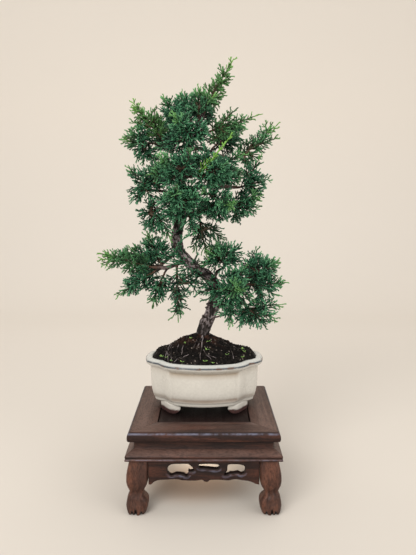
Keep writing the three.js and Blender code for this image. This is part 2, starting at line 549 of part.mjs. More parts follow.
// Sprays of foliage: the limb that carries the twig and the place along it, the foot of the
// spray, its tip, and any further tips as [place along the leader, x, y, z]
const SPRAYS = [
  { name: 'apex', limb: 'trunk', at: 0.995, foot: [2, 9, 420], tip: [32, 13, 470],
    more: [[0.15, 16, 2, 420]], plume: 0.66 },
  { name: 'peak', limb: 'trunk', at: 0.96, foot: [-6, -1, 407], tip: [-5, -6, 436],
    more: [[0.3, 12, -14, 428]], plume: 0.85 },
  { name: 'top_left', limb: 'trunk', at: 0.93, foot: [-14, 11, 403], tip: [-25, 16, 437], more: [] },
  { name: 'shoulder_left', limb: 'trunk', at: 0.9, foot: [-21, 5, 396], tip: [-43, -4, 428], more: [] },
  { name: 'corner_left', limb: 'crown_left_high', at: 0.75, foot: [-45, 7, 385], tip: [-78, 8, 425],
    more: [[0.35, -52, 0, 417], [0.3, -77, -4, 402]], plume: 0.72 },
  { name: 'side_left_high', limb: 'crown_left_high', at: 1, foot: [-52, 4, 380], tip: [-86, 0, 382],
    more: [[0.2, -72, -16, 394], [0.2, -65, -8, 358], [0.15, -50, -16, 358]] },
  { name: 'right_high', limb: 'trunk', at: 0.91, foot: [6, 7, 393], tip: [59, 4, 411],
    more: [[0.2, 30, -22, 386], [0.3, 33, -12, 413], [0.12, 6, -24, 378]], plume: 0.62 },
  { name: 'bright', limb: 'crown_front', at: 1, foot: [-5, -26, 346], tip: [27, -50, 381],
    more: [], bare: true },
  { name: 'far_right', limb: 'crown_right_high', at: 1, foot: [35, 12, 365], tip: [80, 14, 402],
    more: [[0.3, 79, 4, 387], [0.15, 61, 2, 364], [0.1, 44, -6, 356]], plume: 0.68 },
  { name: 'side_left_mid', limb: 'crown_left_mid', at: 1, foot: [-56, 4, 331], tip: [-83, 3, 356],
    more: [[0.2, -62, -10, 352], [0.25, -79, -5, 317], [0.15, -54, -18, 320], [0.1, -43, -14, 334]],
    plume: 0.82 },
  { name: 'left_foot', limb: 'crown_left_low', at: 1, foot: [-48, 3, 311], tip: [-67, -4, 302],
    more: [[0.2, -36, -8, 277], [0.25, -55, -10, 287], [0.1, -52, -15, 319]] },
  { name: 'front_top', limb: 'trunk', at: 0.88, foot: [-13, -6, 381], tip: [-28, -40, 400],
    more: [[0.25, 4, -38, 390], [0.2, -34, -32, 376], [0.3, -50, -24, 372],
      [0.15, 4, -28, 383]] },
  { name: 'front_mid', limb: 'crown_front', at: 1, foot: [-16, -20, 345], tip: [-46, -42, 362],
    more: [[0.2, -14, -50, 368], [0.25, -42, -34, 336], [0.4, -56, -26, 346]] },
  { name: 'front_low', limb: 'trunk', at: 0.59, foot: [-21, -5, 312], tip: [-33, -46, 328],
    more: [[0.2, -10, -36, 284], [0.2, -49, -26, 322], [0.3, -12, -36, 338],
      [0.4, -5, -44, 322], [0.15, -40, -26, 302], [0.08, -25, -16, 276]] },
  { name: 'front_right', limb: 'crown_front', at: 0.85, foot: [-3, -14, 345], tip: [18, -48, 352],
    more: [[0.25, 42, -28, 366], [0.2, 0, -36, 372], [0.2, -6, -42, 340], [0.3, 37, -30, 351]] },
  { name: 'front_right_low', limb: 'crown_right_low', at: 0.75, foot: [9, -2, 317], tip: [30, -38, 318],
    more: [[0.2, -2, -42, 328], [0.15, -4, -24, 304], [0.2, 17, -16, 297]] },
  { name: 'right_mid', limb: 'crown_right_mid', at: 1, foot: [38, 9, 334], tip: [72, 10, 344],
    more: [[0.2, 62, -4, 324], [0.2, 61, 0, 367], [0.15, 44, -10, 356]], plume: 0.8 },
  { name: 'right_low', limb: 'crown_right_low', at: 1, foot: [26, 10, 318], tip: [60, 4, 312],
    more: [[0.2, 44, -2, 303], [0.15, 34, -8, 297], [0.25, 60, -8, 324]] },
  { name: 'right_hem', limb: 'crown_right_low', at: 0.45, foot: [-5, 3, 299], tip: [3, -9, 258],
    more: [[0.15, -18, -6, 281], [0.2, 23, -8, 276], [0.35, -11, -9, 264], [0.1, 18, -12, 291]],
    plume: 0.85 },
  { name: 'back_top', limb: 'trunk', at: 0.93, foot: [-7, 22, 403], tip: [2, 56, 434], more: [] },
  { name: 'back_left_high', limb: 'crown_left_high', at: 0.5, foot: [-37, 23, 380], tip: [-55, 60, 411],
    more: [] },
  { name: 'back_right_high', limb: 'crown_right_high', at: 0.5, foot: [12, 24, 380], tip: [39, 58, 404],
    more: [] },
  { name: 'back_mid', limb: 'crown_back', at: 1, foot: [-14, 36, 353], tip: [-17, 67, 380], more: [] },
  { name: 'back_left_mid', limb: 'crown_back', at: 0.7, foot: [-33, 31, 348], tip: [-67, 60, 358],
    more: [] },
  { name: 'back_right_mid', limb: 'crown_back', at: 0.9, foot: [1, 34, 346], tip: [46, 61, 347], more: [] },
  { name: 'back_low', limb: 'trunk', at: 0.6, foot: [-22, 23, 314], tip: [-32, 65, 326],
    more: [[0.15, 12, 58, 306]] },
  { name: 'pad_left_tip', limb: 'low_left', at: 1, foot: [-59, 3, 247], tip: [-115, -2, 263],
    more: [], plume: 0.85 },
  { name: 'pad_left_top', limb: 'low_left', at: 0.8, foot: [-48, 8, 250], tip: [-64, 17, 278],
    more: [[0.2, -84, 8, 268], [0.2, -42, -4, 270]] },
  { name: 'pad_left_end', limb: 'low_left', at: 0.85, foot: [-55, -1, 242], tip: [-95, -14, 217],
    more: [], plume: 0.8 },
  { name: 'pad_left_drop', limb: 'low_left', at: 0.65, foot: [-44, 0, 240], tip: [-56, -19, 206],
    more: [], plume: 0.85 },
  { name: 'pad_left_hang', limb: 'low_left', at: 0.35, foot: [-30, -1, 242], tip: [-28, -18, 190],
    more: [[0.15, 3, -18, 230], [0.1, -4, -16, 245]], plume: 0.72 },
  { name: 'pad_left_back', limb: 'low_left_back', at: 1, foot: [-51, 27, 246], tip: [-87, 52, 247],
    more: [] },
  { name: 'pad_right_top', limb: 'low_right_top', at: 1, foot: [25, 10, 250], tip: [6, -12, 264],
    more: [[0.2, 41, 6, 271], [0.2, 16, 32, 268], [0.3, -4, -6, 252], [0.3, 24, -12, 270],
      [0.2, 39, -8, 257]] },
  { name: 'pad_right_high', limb: 'low_right', at: 0.9, foot: [49, 7, 234], tip: [84, 8, 254],
    more: [[0.15, 60, 15, 267], [0.1, 40, -4, 250]] },
  { name: 'pad_right_end', limb: 'low_right', at: 1, foot: [51, 4, 227], tip: [91, 2, 230],
    more: [[0.2, 82, -8, 216], [0.15, 63, -16, 212]], plume: 0.85 },
  { name: 'pad_right_low', limb: 'low_right_foot', at: 1, foot: [44, 0, 206], tip: [68, -12, 182],
    more: [[0.2, 86, -8, 207], [0.1, 38, -10, 182], [0.2, 52, -12, 184],
      [0.1, 15, -12, 196], [0.4, 80, -14, 192]], plume: 0.85 },
  { name: 'pad_right_front', limb: 'low_right', at: 0.45, foot: [25, -4, 223], tip: [37, -45, 231],
    more: [[0.2, 18, -36, 208], [0.2, 30, -30, 248], [0.1, -6, -17, 223], [0.15, 28, -20, 184],
      [0.35, 53, -30, 216], [0.2, 45, -22, 252]] },
  { name: 'pad_right_back', limb: 'low_right', at: 0.7, foot: [39, 18, 228], tip: [70, 55, 230], more: [] },
];

const limbCurves = Object.fromEntries(
  Object.entries(LIMBS).map(([name, limb]) => [name, curveThrough(limb.points)]));
limbCurves.trunk = trunkCurve;

// Curve with two straight handles: leaves the start and reaches the end in given directions
function easyCurve(start, end, leave, arrive) {
  const reach = start.distanceTo(end) * 0.36;
  return new THREE.CubicBezierCurve3(
    start, start.clone().addScaledVector(leave, reach), end.clone().addScaledVector(arrive, -reach), end);
}

// Direction in which a spray's leader sets off, and in which its twig arrives
function sprayStart(spray) {
  const foot = v3(...spray.foot);
  const along = v3(...spray.tip).sub(foot).normalize();
  const carried = foot.clone().sub(limbCurves[spray.limb].getPointAt(Math.min(spray.at, 1))).normalize();
  return along.addScaledVector(carried, 0.35).normalize();
}

function twigCurve(spray) {
  const foot = v3(...spray.foot);
  const arrive = sprayStart(spray);
  const start = limbCurves[spray.limb].getPointAt(spray.at);
  const leave = foot.clone().sub(start).normalize();
  return easyCurve(start, foot.clone().addScaledVector(arrive, -JOINT_GAP), leave, arrive);
}

// Wood of the tree: trunk, limbs, twigs and surface roots grown as one body
function wood(mound) {
  const limbs = Object.entries(LIMBS).map(
    ([name, { radii }]) => barAlong(limbCurves[name], 4, 5, taper(...radii)));
  const twigs = SPRAYS.map((spray) => barAlong(twigCurve(spray), 3, 3, taper(1.6, TWIG_RADIUS)));
  const roots = ROOTS.map((route) => rootSolid(route, mound));
  return namedMesh('tree_wood', joined([trunkSolid(), ...limbs, ...twigs, ...roots]), BARK);
}

// Tapered rods that stand for wood, leaders and shoots while shoots are kept apart
const rods = [];

const makeRod = (owner, a, b, ra, rb) => ({
  owner, a, b, ra, rb, middle: a.clone().add(b).multiplyScalar(0.5), half: a.distanceTo(b) / 2,
});

function addRod(owner, a, b, ra, rb, kind) {
  rods.push({ ...makeRod(owner, a, b, ra, rb), kind });
}

function addRodsAlong(owner, curve, steps, radius, kind) {
  for (let i = 0; i < steps; i += 1) {
    const [t0, t1] = [i / steps, (i + 1) / steps];
    addRod(owner, curve.getPointAt(t0), curve.getPointAt(t1), radius(t0), radius(t1), kind);
  }
}

// Free room between two tapered rods, at the places where their centre lines come closest
function roomBetween(p, q) {
  const d1 = p.b.clone().sub(p.a);
  const d2 = q.b.clone().sub(q.a);
  const r = p.a.clone().sub(q.a);
  const [a, e, f, c, b] = [d1.dot(d1), d2.dot(d2), d2.dot(r), d1.dot(r), d1.dot(d2)];
  const spread = a * e - b * b;
  let s = spread > 1e-9 ? THREE.MathUtils.clamp((b * f - c * e) / spread, 0, 1) : 0;
  const t = THREE.MathUtils.clamp((b * s + f) / e, 0, 1);
  s = THREE.MathUtils.clamp((b * t - c) / a, 0, 1);
  const gap = p.a.clone().addScaledVector(d1, s).distanceTo(q.a.clone().addScaledVector(d2, t));
  return gap - (p.ra + (p.rb - p.ra) * s) - (q.ra + (q.rb - q.ra) * t);
}

// True when a rod keeps its distance from every other spray and from the wood, and from the
// distant parts of its own spray
function isClear(rod, skip) {
  return rods.every((other) => {
    if (skip(other)) return true;
    const own = other.owner === rod.owner;
    const margin = own ? SHOOT_CLEARANCE : NODE_CLEARANCE;
    const reach = rod.half + other.half + rod.ra + other.ra + margin;
    if (rod.middle.distanceToSquared(other.middle) > reach * reach) return true;
    return roomBetween(rod, other) > margin;
  });
}

// Six times the signed volume of the tetrahedron on four points
function tetra(p, a, b, c) {
  const [ax, ay, az] = [a.x - p.x, a.y - p.y, a.z - p.z];
  const [bx, by, bz] = [b.x - p.x, b.y - p.y, b.z - p.z];
  const [cx, cy, cz] = [c.x - p.x, c.y - p.y, c.z - p.z];
  return ax * (by * cz - bz * cy) + ay * (bz * cx - bx * cz) + az * (bx * cy - by * cx);
}

// True when the stretch from p to q goes through the inside of a triangle
function pierces(p, q, [a, b, c]) {
  if (tetra(p, a, b, c) * tetra(q, a, b, c) >= 0) return false;
  const first = tetra(p, q, a, b) > 0;
  return first === tetra(p, q, b, c) > 0 && first === tetra(p, q, c, a) > 0;
}

const NEXT = [1, 2, 0];

// True when an edge of one triangle goes through the other; corners that both share don't count
function edgesPierce(indices, others, vertices) {
  const corners = others.map((k) => vertices[k]);
  return indices.some((start, k) => {
    const end = indices[NEXT[k]];
    if (others.includes(start) || others.includes(end)) return false;
    return pierces(vertices[start], vertices[end], corners);
  });
}

// True when none of the new triangles of a spray's body crosses one that is there already
function fitsIn(spray, fresh) {
  const { vertices, facets, faces } = spray.body;
  const standing = [...faces, ...facets.map((facet) => facet.corners)];
  return fresh.every((triangle) => standing.every((other) => triangle === other
    || !(edgesPierce(triangle, other, vertices) || edgesPierce(other, triangle, vertices))));
}

// Three points round a centre, each opposite the middle of an edge of the ring before
function nextRing(before, centreBefore, centre, direction, radius) {
  const u = before[0].clone().add(before[1]).multiplyScalar(0.5).sub(centreBefore);
  u.addScaledVector(direction, -u.dot(direction)).normalize();
  const v = direction.clone().cross(u);
  return [0, 1, 2].map((k) => {
    const angle = (2 * Math.PI * k) / 3;
    return centre.clone().addScaledVector(u, radius * Math.cos(angle))
      .addScaledVector(v, radius * Math.sin(angle));
  });
}

// A leader is a slim three-sided stem: rings of three points, each turned by 60 degrees from
// the one before, so that six facets lie between two rings. It starts on three points that
// are there already, and ends in a long point.
function growLeader(spray, start, curve, radii, level) {
  const { vertices, facets, faces } = spray.body;
  const length = curve.getLength();
  const steps = Math.max(1, Math.round(length / RING_SPACING) - 1);
  let indices = start;
  let centreBefore = curve.getPointAt(0);
  for (let i = 1; i <= steps; i += 1) {
    const t = i / (steps + 1);
    const centre = curve.getPointAt(t);
    const direction = curve.getTangentAt(t);
    const radius = radii[0] + (radii[1] - radii[0]) * t;
    const ring = nextRing(indices.map((k) => vertices[k]), centreBefore, centre, direction, radius);
    const fresh = ring.map((p) => vertices.push(p) - 1);
    for (let k = 0; k < 3; k += 1) {
      const n = (k + 1) % 3;
      const low = { corners: [indices[k], indices[n], fresh[k]], place: (i - 0.67) / (steps + 1) };
      const high = { corners: [fresh[k], indices[n], fresh[n]], place: (i - 0.33) / (steps + 1) };
      [low, high].forEach((facet) => facets.push({ ...facet, direction, length, level, ring: i, curve }));
    }
    addRod(spray.name, centreBefore, centre, radius, radius, 'leader');
    indices = fresh;
    centreBefore = centre;
  }
  const tip = vertices.push(curve.getPointAt(1)) - 1;
  for (let k = 0; k < 3; k += 1) faces.push([indices[k], indices[(k + 1) % 3], tip]);
  addRod(spray.name, centreBefore, vertices[tip], radii[1], 0.1, 'leader');
}

function facetFrame(spray, facet) {
  const [a, b, c] = facet.corners.map((k) => spray.body.vertices[k]);
  const middle = a.clone().add(b).add(c).divideScalar(3);
  const normal = b.clone().sub(a).cross(c.clone().sub(a)).normalize();
  const outward = normal.clone().addScaledVector(facet.direction, -normal.dot(facet.direction)).normalize();
  return { middle, normal, outward };
}

// Starts a spray: a small flat foot across the twig's end, and the main leader
function startSpray(spec, random) {
  const spray = { ...spec, random, body: { vertices: [], facets: [], faces: [] } };
  const foot = v3(...spec.foot);
  const tip = v3(...spec.tip);
  const direction = sprayStart(spec);
  const lean = tip.clone().sub(foot).normalize().addScaledVector(UP, 0.25 * (random() - 0.3)).normalize();
  const curve = easyCurve(foot, tip, direction, lean);
  const side = direction.clone().cross(Math.abs(direction.z) > 0.8 ? v3(1, 0, 0) : UP).normalize();
  const turn = 2 * Math.PI * random();
  side.applyAxisAngle(direction, turn);
  const over = direction.clone().cross(side);
  const start = [0, 1, 2].map((k) => {
    const angle = (2 * Math.PI * k) / 3;
    const p = foot.clone().addScaledVector(side, LEADER_RADIUS * Math.cos(angle));
    return spray.body.vertices.push(p.addScaledVector(over, LEADER_RADIUS * Math.sin(angle))) - 1;
  });
  spray.body.faces.push([start[2], start[1], start[0]]);
  growLeader(spray, start, curve, [LEADER_RADIUS, 0.85], 0);
  return spray;
}

// Side leader out of one facet, towards a point
function growSideLeader(spray, facet, target, level) {
  const { middle, normal } = facetFrame(spray, facet);
  const towards = target.clone().sub(middle).normalize();
  const leave = normal.clone().addScaledVector(towards, 0.6).normalize();
  const arrive = towards.clone().addScaledVector(facet.direction, 0.35).normalize();
  const curve = easyCurve(middle, target, leave, arrive);
  const stops = [0.05, 0.35, 0.65, 1];
  const clear = [0, 1, 2].every((i) => {
    const [from, to] = [curve.getPointAt(stops[i]), curve.getPointAt(stops[i + 1])];
    const rod = makeRod(spray.name, from, to, 1.6, 1.2);
    return isClear(rod, (other) => other.owner === spray.name
      && (i === 0 || (i === 1 && other.kind === 'leader')));
  });
  if (!clear) return;
  const { vertices, facets, faces } = spray.body;
  const before = [vertices.length, facets.length, faces.length, rods.length];
  growLeader(spray, facet.corners, curve, [1.2, 0.75], level);
  const fresh = [...facets.slice(before[1]).map((f) => f.corners), ...faces.slice(before[2])];
  if (fitsIn(spray, fresh)) {
    facets.splice(facets.indexOf(facet), 1);
  } else {
    [vertices, facets, faces, rods].forEach((list, k) => list.splice(before[k]));
  }
}

function bestFacet(spray, place, target) {
  const main = spray.body.facets.filter((f) => f.level === 0 && f.ring > 1);
  const nearest = Math.min(...main.map((f) => Math.abs(f.place - place)));
  const open = main.filter((f) => Math.abs(f.place - place) < nearest + 0.1);
  const score = (f) => {
    const { middle, normal } = facetFrame(spray, f);
    return normal.dot(target.clone().sub(middle).normalize());
  };
  return open.sort((f, g) => score(g) - score(f))[0];
}

// Side leaders: first those that the list asks for, then more from side to side
function growSideLeaders(spray) {
  spray.more.forEach(([place, ...target]) => {
    const facet = bestFacet(spray, Math.max(place, 0.2), v3(...target));
    growSideLeader(spray, facet, v3(...target), 1);
  });
  if (spray.bare) return;
  const main = spray.body.facets[0];
  const across = main.direction.clone().cross(v3(...spray.foot).sub(v3(-10, 8, 330)).normalize()).normalize();
  const count = Math.floor(main.length / 9);
  for (let i = 0; i < count; i += 1) {
    const place = 0.2 + (0.5 * (i + 0.5)) / count;
    const origin = main.curve.getPointAt(place);
    const direction = main.curve.getTangentAt(place);
    const roll = Math.PI * i + 0.9 * (spray.random() - 0.5) + (i % 3 === 2 ? 1.3 : 0);
    const sideways = across.clone().applyAxisAngle(direction, roll);
    const narrowing = 0.64 - 0.5 * place;
    const reach = narrowing * (spray.plume ?? 1) * main.length * (0.6 + 0.3 * spray.random());
    const target = origin.clone().addScaledVector(direction, reach * 0.72)
      .addScaledVector(sideways, reach * 0.7);
    const facet = bestFacet(spray, place, target);
    if (facet && reach > 9) growSideLeader(spray, facet, target, 1);
  }
}

// Shoot: one facet drawn out into a long three-sided point that leans forward. Of a few leans
// and lengths it takes the longest that stays clear.
function growShoot(spray, facet) {
  const { vertices, faces } = spray.body;
  const { middle, outward } = facetFrame(spray, facet);
  const { random } = spray;
  const [first, second, third] = [random(), random(), random()];
  const fade = facet.level === 0 ? 1 : 0.8;
  const lean = THREE.MathUtils.lerp(56, 30, facet.place) + 8 * (first - 0.5);
  const full = fade * THREE.MathUtils.lerp(LONG_SHOOT, SHORT_SHOOT, facet.place) * (0.72 + 0.5 * second);
  const slim = spray.bare ? 0.3 : spray.plume ?? 1;
  const [a, b, c] = facet.corners;
  for (let length = full * slim; length > SHORTEST_SHOOT * slim; length *= 0.82) {
    for (const more of LEANS) {
      const angle = THREE.MathUtils.degToRad(lean + more);
      const apex = facet.direction.clone().multiplyScalar(Math.cos(angle))
        .addScaledVector(outward, Math.sin(angle)).applyAxisAngle(facet.direction, 0.3 * (third - 0.5))
        .multiplyScalar(length).add(middle);
      const whole = makeRod(spray.name, middle, apex, SHOOT_BASE_RADIUS, 0.1);
      const part = middle.clone().lerp(apex, OUTER_PART);
      const outer = makeRod(spray.name, part, apex, SHOOT_BASE_RADIUS * (1 - OUTER_PART), 0.1);
      const edges = facet.corners.map((k) => makeRod(spray.name, vertices[k], apex, EDGE_RADIUS, 0.1));
      const clear = [whole, ...edges].every((rod) => isClear(rod, (other) => other.owner === spray.name))
        && isClear(outer, (other) => other.owner !== spray.name || other.kind === 'base');
      const tip = vertices.push(apex) - 1;
      const drawn = [[a, b, tip], [b, c, tip], [c, a, tip]];
      if (clear && fitsIn(spray, drawn)) {
        faces.push(...drawn);
        rods.push(outer, ...[whole, ...edges].map((rod) => ({ ...rod, kind: 'base' })));
        return;
      }
      vertices.pop();
    }
  }
  faces.push(facet.corners);
}

// All sprays grow together, so that none is starved by its neighbours
function foliage() {
  addRodsAlong('wood', trunkCurve, 40, (t) => trunkRadius(t, 0) * 1.15, 'wood');
  Object.entries(LIMBS).forEach(([name, { radii }]) => {
    addRodsAlong('wood', limbCurves[name], 5, taper(...radii), 'wood');
  });
  SPRAYS.forEach((spec) => addRodsAlong(spec.name, twigCurve(spec), 3, taper(1.5, TWIG_RADIUS), 'twig'));
  const sprays = SPRAYS.map((spec, i) => startSpray(spec, seededRandom(SEED + 97 * i)));
  sprays.forEach(growSideLeaders);
  const most = Math.max(...sprays.map((spray) => spray.body.facets.length));
  for (let i = 0; i < most; i += 1) {
    sprays.forEach((spray) => {
      if (i < spray.body.facets.length) growShoot(spray, spray.body.facets[i]);
    });
  }
  return sprays.map((spray) => namedMesh(
    `spray_${spray.name}`,
    outwards(facetGeometry(spray.body.vertices, spray.body.faces)),
    spray.bare ? FRESH_LEAF : LEAF));
}

// Assembly, moved so that the origin is below the middle of the box
const mound = soilMound();
const pieces = [
  ...standFrame(), standPanel(), ...standMouldings(), ...standAprons(), ...standLegs(),
  pot(), ...drainScreens(), soil(mound), wood(mound), ...foliage(),
];
const object = new THREE.Group();
object.add(...pieces);
object.updateMatrixWorld(true);
const bounds = new THREE.Box3().setFromObject(object, true);
const middle = bounds.getCenter(v3());
object.position.set(-middle.x, -middle.y, -bounds.min.z);

export default object;
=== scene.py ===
import bpy
import numpy as np
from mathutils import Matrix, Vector


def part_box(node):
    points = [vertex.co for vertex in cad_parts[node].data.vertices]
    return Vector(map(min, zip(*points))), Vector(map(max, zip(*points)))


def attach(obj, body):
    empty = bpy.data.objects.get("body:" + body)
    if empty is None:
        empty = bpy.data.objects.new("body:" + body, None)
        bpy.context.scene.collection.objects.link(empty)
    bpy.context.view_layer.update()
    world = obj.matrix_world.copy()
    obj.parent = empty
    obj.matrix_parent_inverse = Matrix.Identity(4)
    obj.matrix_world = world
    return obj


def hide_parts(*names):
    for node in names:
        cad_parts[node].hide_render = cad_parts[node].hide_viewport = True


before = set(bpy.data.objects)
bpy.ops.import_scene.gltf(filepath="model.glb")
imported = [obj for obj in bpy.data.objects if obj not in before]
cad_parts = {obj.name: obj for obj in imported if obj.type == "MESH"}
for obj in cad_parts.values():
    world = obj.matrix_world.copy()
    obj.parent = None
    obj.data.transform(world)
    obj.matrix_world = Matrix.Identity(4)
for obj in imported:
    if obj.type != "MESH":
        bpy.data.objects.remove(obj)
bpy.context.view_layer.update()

# Where things stand. Every section below gives its places in millimetres from the middle of the
# stand's floor; the stand's own top board tells where that middle lies.
MM = 0.001
board_low, board_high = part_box("top_panel")
STAND_MIDDLE = np.array([(board_low.x + board_high.x) / 2, (board_low.y + board_high.y) / 2, 0])


# Camera: at the height of the crown's middle, looking slightly down at the stand from the front.
CAMERA_PLACE = (4.2, -568, 309)
CAMERA_DOWN = 7.36
CAMERA_LENS = 33.73


def shown(name, data):
    """Object in the scene that shows a mesh, a lamp or a camera."""
    made = bpy.data.objects.new(name, data)
    bpy.context.scene.collection.objects.link(made)
    return made


camera = shown("camera", bpy.data.cameras.new("camera"))
camera.data.lens = CAMERA_LENS
camera.data.clip_start = 0.01
camera.location = STAND_MIDDLE + np.array(CAMERA_PLACE) * MM
camera.rotation_euler = (np.radians(90 - CAMERA_DOWN), 0, 0)
bpy.context.scene.camera = camera
bpy.context.scene.view_settings.view_transform = "Standard"


# Light: a pale room, one broad soft lamp above and left of the camera, a weaker one to the right,
# one over the tree, and a small warm one under the stand that brightens the paper there.
SOFT_WHITE = (1.0, 0.965, 0.92)
SOFT_AMBER = (1.0, 0.84, 0.68)
ROOM_STRENGTH = 0.80
# Each lamp: its place, the point it faces, its width, its watts and its colour
LAMPS = {
    "key": ((-520, -980, 900), (0, 0, 260), 800, 12.5, SOFT_WHITE),
    "fill": ((800, -700, 420), (0, 0, 250), 900, 4.2, SOFT_WHITE),
    "top": ((60, 60, 1150), (0, 0, 200), 600, 2.4, SOFT_WHITE),
    "under": ((0, 45, 40), (0, 45, 0), 60, 0.032, SOFT_AMBER),
}

room = bpy.data.worlds.new("room")
bpy.context.scene.world = room
room.use_nodes = True
room.node_tree.nodes["Background"].inputs["Color"].default_value = (*SOFT_WHITE, 1)
room.node_tree.nodes["Background"].inputs["Strength"].default_value = ROOM_STRENGTH

for name, (place, aim, width, watts, colour) in LAMPS.items():
    light = bpy.data.lights.new(name, "AREA")
    light.shape = "DISK"
    light.size = width * MM
    light.energy = watts
    light.color = colour
    holder = shown(name, light)
    holder.location = STAND_MIDDLE + np.array(place) * MM
    holder.rotation_euler = (Vector(aim) - Vector(place)).to_track_quat("-Z", "Y").to_euler()


# Floor and backdrop: one pale warm sheet of studio paper that lies flat under the stand and
# bends up well behind it. It is paler where less light falls, so that it looks even, and it has a
# warm brown painted shadow under the stand. It isn't part of the object.
BLACK = (0, 0, 0)
WHITE = (1, 1, 1)
PAPER_COLOUR = (1.0, 0.937, 0.857)
PAPER_CLOUD = (0.5, 0.46, 0.42)
STAND_SHADOW_BROWN = (0.84, 0.70, 0.61)
# Paleness at places on the floor, given by y, and at heights on the bend and the wall
FLOOR_TONES = [(-1600, 0.565), (-130, 0.567), (-60, 0.587), (0, 0.61), (230, 0.643), (420, 0.683),
               (710, 0.756)]
BEND_TONES = [(0, 0.776), (127, 0.782), (390, 0.803), (690, 0.838), (820, 0.852), (2600, 0.852)]
# The painted shadow under the stand: half its width, half its depth and the place of its middle
SHADOW_HALF_WIDTH = 92
SHADOW_HALF_DEPTH = 62
SHADOW_MIDDLE_Y = -12
FLOOR_BEND = 900
FLOOR_RADIUS = 700
FLOOR_HALF_WIDTH = 2600
FLOOR_TOP = 2600


def number_points(mesh, key, values):
    """Gives every point of a mesh a number, or three, under a name."""
    kind, field = ("FLOAT", "value") if values.ndim == 1 else ("FLOAT_VECTOR", "vector")
    layer = mesh.attributes.new(key, kind, "POINT")
    layer.data.foreach_set(field, values.astype(np.float32).ravel())


def add_mesh(name, points, faces, numbers=None, smooth=True):
    """Mesh object from points in millimetres and a list of arrays with one face a row; numbers
    holds named arrays with one number, or three, for every point."""
    mesh = bpy.data.meshes.new(name)
    mesh.vertices.add(len(points))
    places = points * MM + STAND_MIDDLE
    mesh.vertices.foreach_set("co", places.astype(np.float32).ravel())
    sizes = np.concatenate([np.full(len(f), f.shape[1]) for f in faces])
    corners = np.concatenate([f.ravel() for f in faces])
    mesh.loops.add(len(corners))
    mesh.loops.foreach_set("vertex_index", corners.astype(np.int32))
    mesh.polygons.add(len(sizes))
    starts = np.concatenate([[0], np.cumsum(sizes)[:-1]])
    mesh.polygons.foreach_set("loop_start", starts.astype(np.int32))
    mesh.polygons.foreach_set("use_smooth", np.full(len(sizes), smooth))
    for key, values in (numbers or {}).items():
        number_points(mesh, key, values)
    mesh.update(calc_edges=True)
    mesh.validate()
    return shown(name, mesh)


def grid_faces(rows, columns, round_again=True):
    """Quads between neighbours of a grid of points stored row by row. With round_again the last
    column joins the first."""
    r = np.arange(rows - 1)[:, None]
    c = np.arange(columns if round_again else columns - 1)[None, :]
    after = (c + 1) % columns
    quad = [r * columns + c, r * columns + after, (r + 1) * columns + after, (r + 1) * columns + c]
    return np.stack(np.broadcast_arrays(*quad), -1).reshape(-1, 4)


def node(tree, kind, inputs=None, **settings):
    """Adds a shader node. inputs gives each named socket a value or the socket that feeds it."""
    made = tree.nodes.new(kind)
    for key, value in settings.items():
        setattr(made, key, value)
    for key, value in (inputs or {}).items():
        if isinstance(value, bpy.types.NodeSocket):
            tree.links.new(value, made.inputs[key])
        else:
            made.inputs[key].default_value = value
    return made


def blended(tree, factor, first, second, way="MIX"):
    """Colour between two colours or sockets, by a factor from 0 to 1."""
    mix = node(tree, "ShaderNodeMix", data_type="RGBA", blend_type=way)
    for number, value in ((0, factor), (6, first), (7, second)):
        socket = mix.inputs[number]
        if isinstance(value, bpy.types.NodeSocket):
            tree.links.new(value, socket)
        else:
            socket.default_value = value if isinstance(value, (int, float)) else (*value, 1)
    return mix.outputs[2]


def layered(tree, colour, *layers):
    """A colour with others laid over it, each given by its number from 0 to 1 and its colour."""
    for factor, above in layers:
        colour = blended(tree, factor, colour, above)
    return colour


def spread(tree, value, low, high, to_low=0.0, to_high=1.0):
    """Number carried from one range to another, held at both ends, with soft ends."""
    ranged = node(tree, "ShaderNodeMapRange", {
        "Value": value, "From Min": low, "From Max": high, "To Min": to_low, "To Max": to_high})
    ranged.interpolation_type = "SMOOTHSTEP"
    return ranged.outputs["Result"]


def new_material(name, **uniform):
    """Material with its node tree and its shader; uniform values go on the shader's sockets."""
    material = bpy.data.materials.new(name)
    material.use_nodes = True
    tree = material.node_tree
    shader = tree.nodes["Principled BSDF"]
    for key, value in uniform.items():
        shader.inputs[key.replace("_", " ")].default_value = value
    return material, tree, shader


def feed(tree, shader, **changing):
    """Links what changes over a surface to the shader's sockets."""
    for key, value in changing.items():
        tree.links.new(value, shader.inputs[key.replace("_", " ")])


def object_place(tree):
    """Place on a piece, in metres."""
    return node(tree, "ShaderNodeTexCoord").outputs["Object"]


def mark(tree, name, kind="Fac"):
    """A mesh's own number by name, or its own vector."""
    return node(tree, "ShaderNodeAttribute", attribute_name=name).outputs[kind]


def noise(tree, place, scale, detail, **more):
    """Cloudy number from 0 to 1, with the given number of clouds a unit of place."""
    return node(tree, "ShaderNodeTexNoise", {
        "Vector": place, "Scale": scale, "Detail": detail, **more}).outputs["Fac"]


paper, tree, shader = new_material("studio_paper", Roughness=0.9, Specular_IOR_Level=0.15)
place = object_place(tree)
cloud = noise(tree, place, 1.4, 2.0)
pale = layered(tree, BLACK, (mark(tree, "tone"), PAPER_COLOUR),
               (spread(tree, cloud, 0.3, 0.7, 0, 0.02), PAPER_CLOUD))
# Painted shadow: the paper is browned and darkened in a soft oval under the stand
round_stand = node(tree, "ShaderNodeMapping", {
    "Vector": place, "Location": (0, -SHADOW_MIDDLE_Y / SHADOW_HALF_DEPTH, 0),
    "Scale": (1 / (SHADOW_HALF_WIDTH * MM), 1 / (SHADOW_HALF_DEPTH * MM), 1)})
under = node(tree, "ShaderNodeTexGradient", {"Vector": round_stand.outputs["Vector"]},
             gradient_type="SPHERICAL")
painted_shadow = blended(tree, spread(tree, under.outputs["Fac"], 0.15, 0.8), WHITE, STAND_SHADOW_BROWN)
feed(tree, shader, Base_Color=blended(tree, 1.0, pale, painted_shadow, "MULTIPLY"))

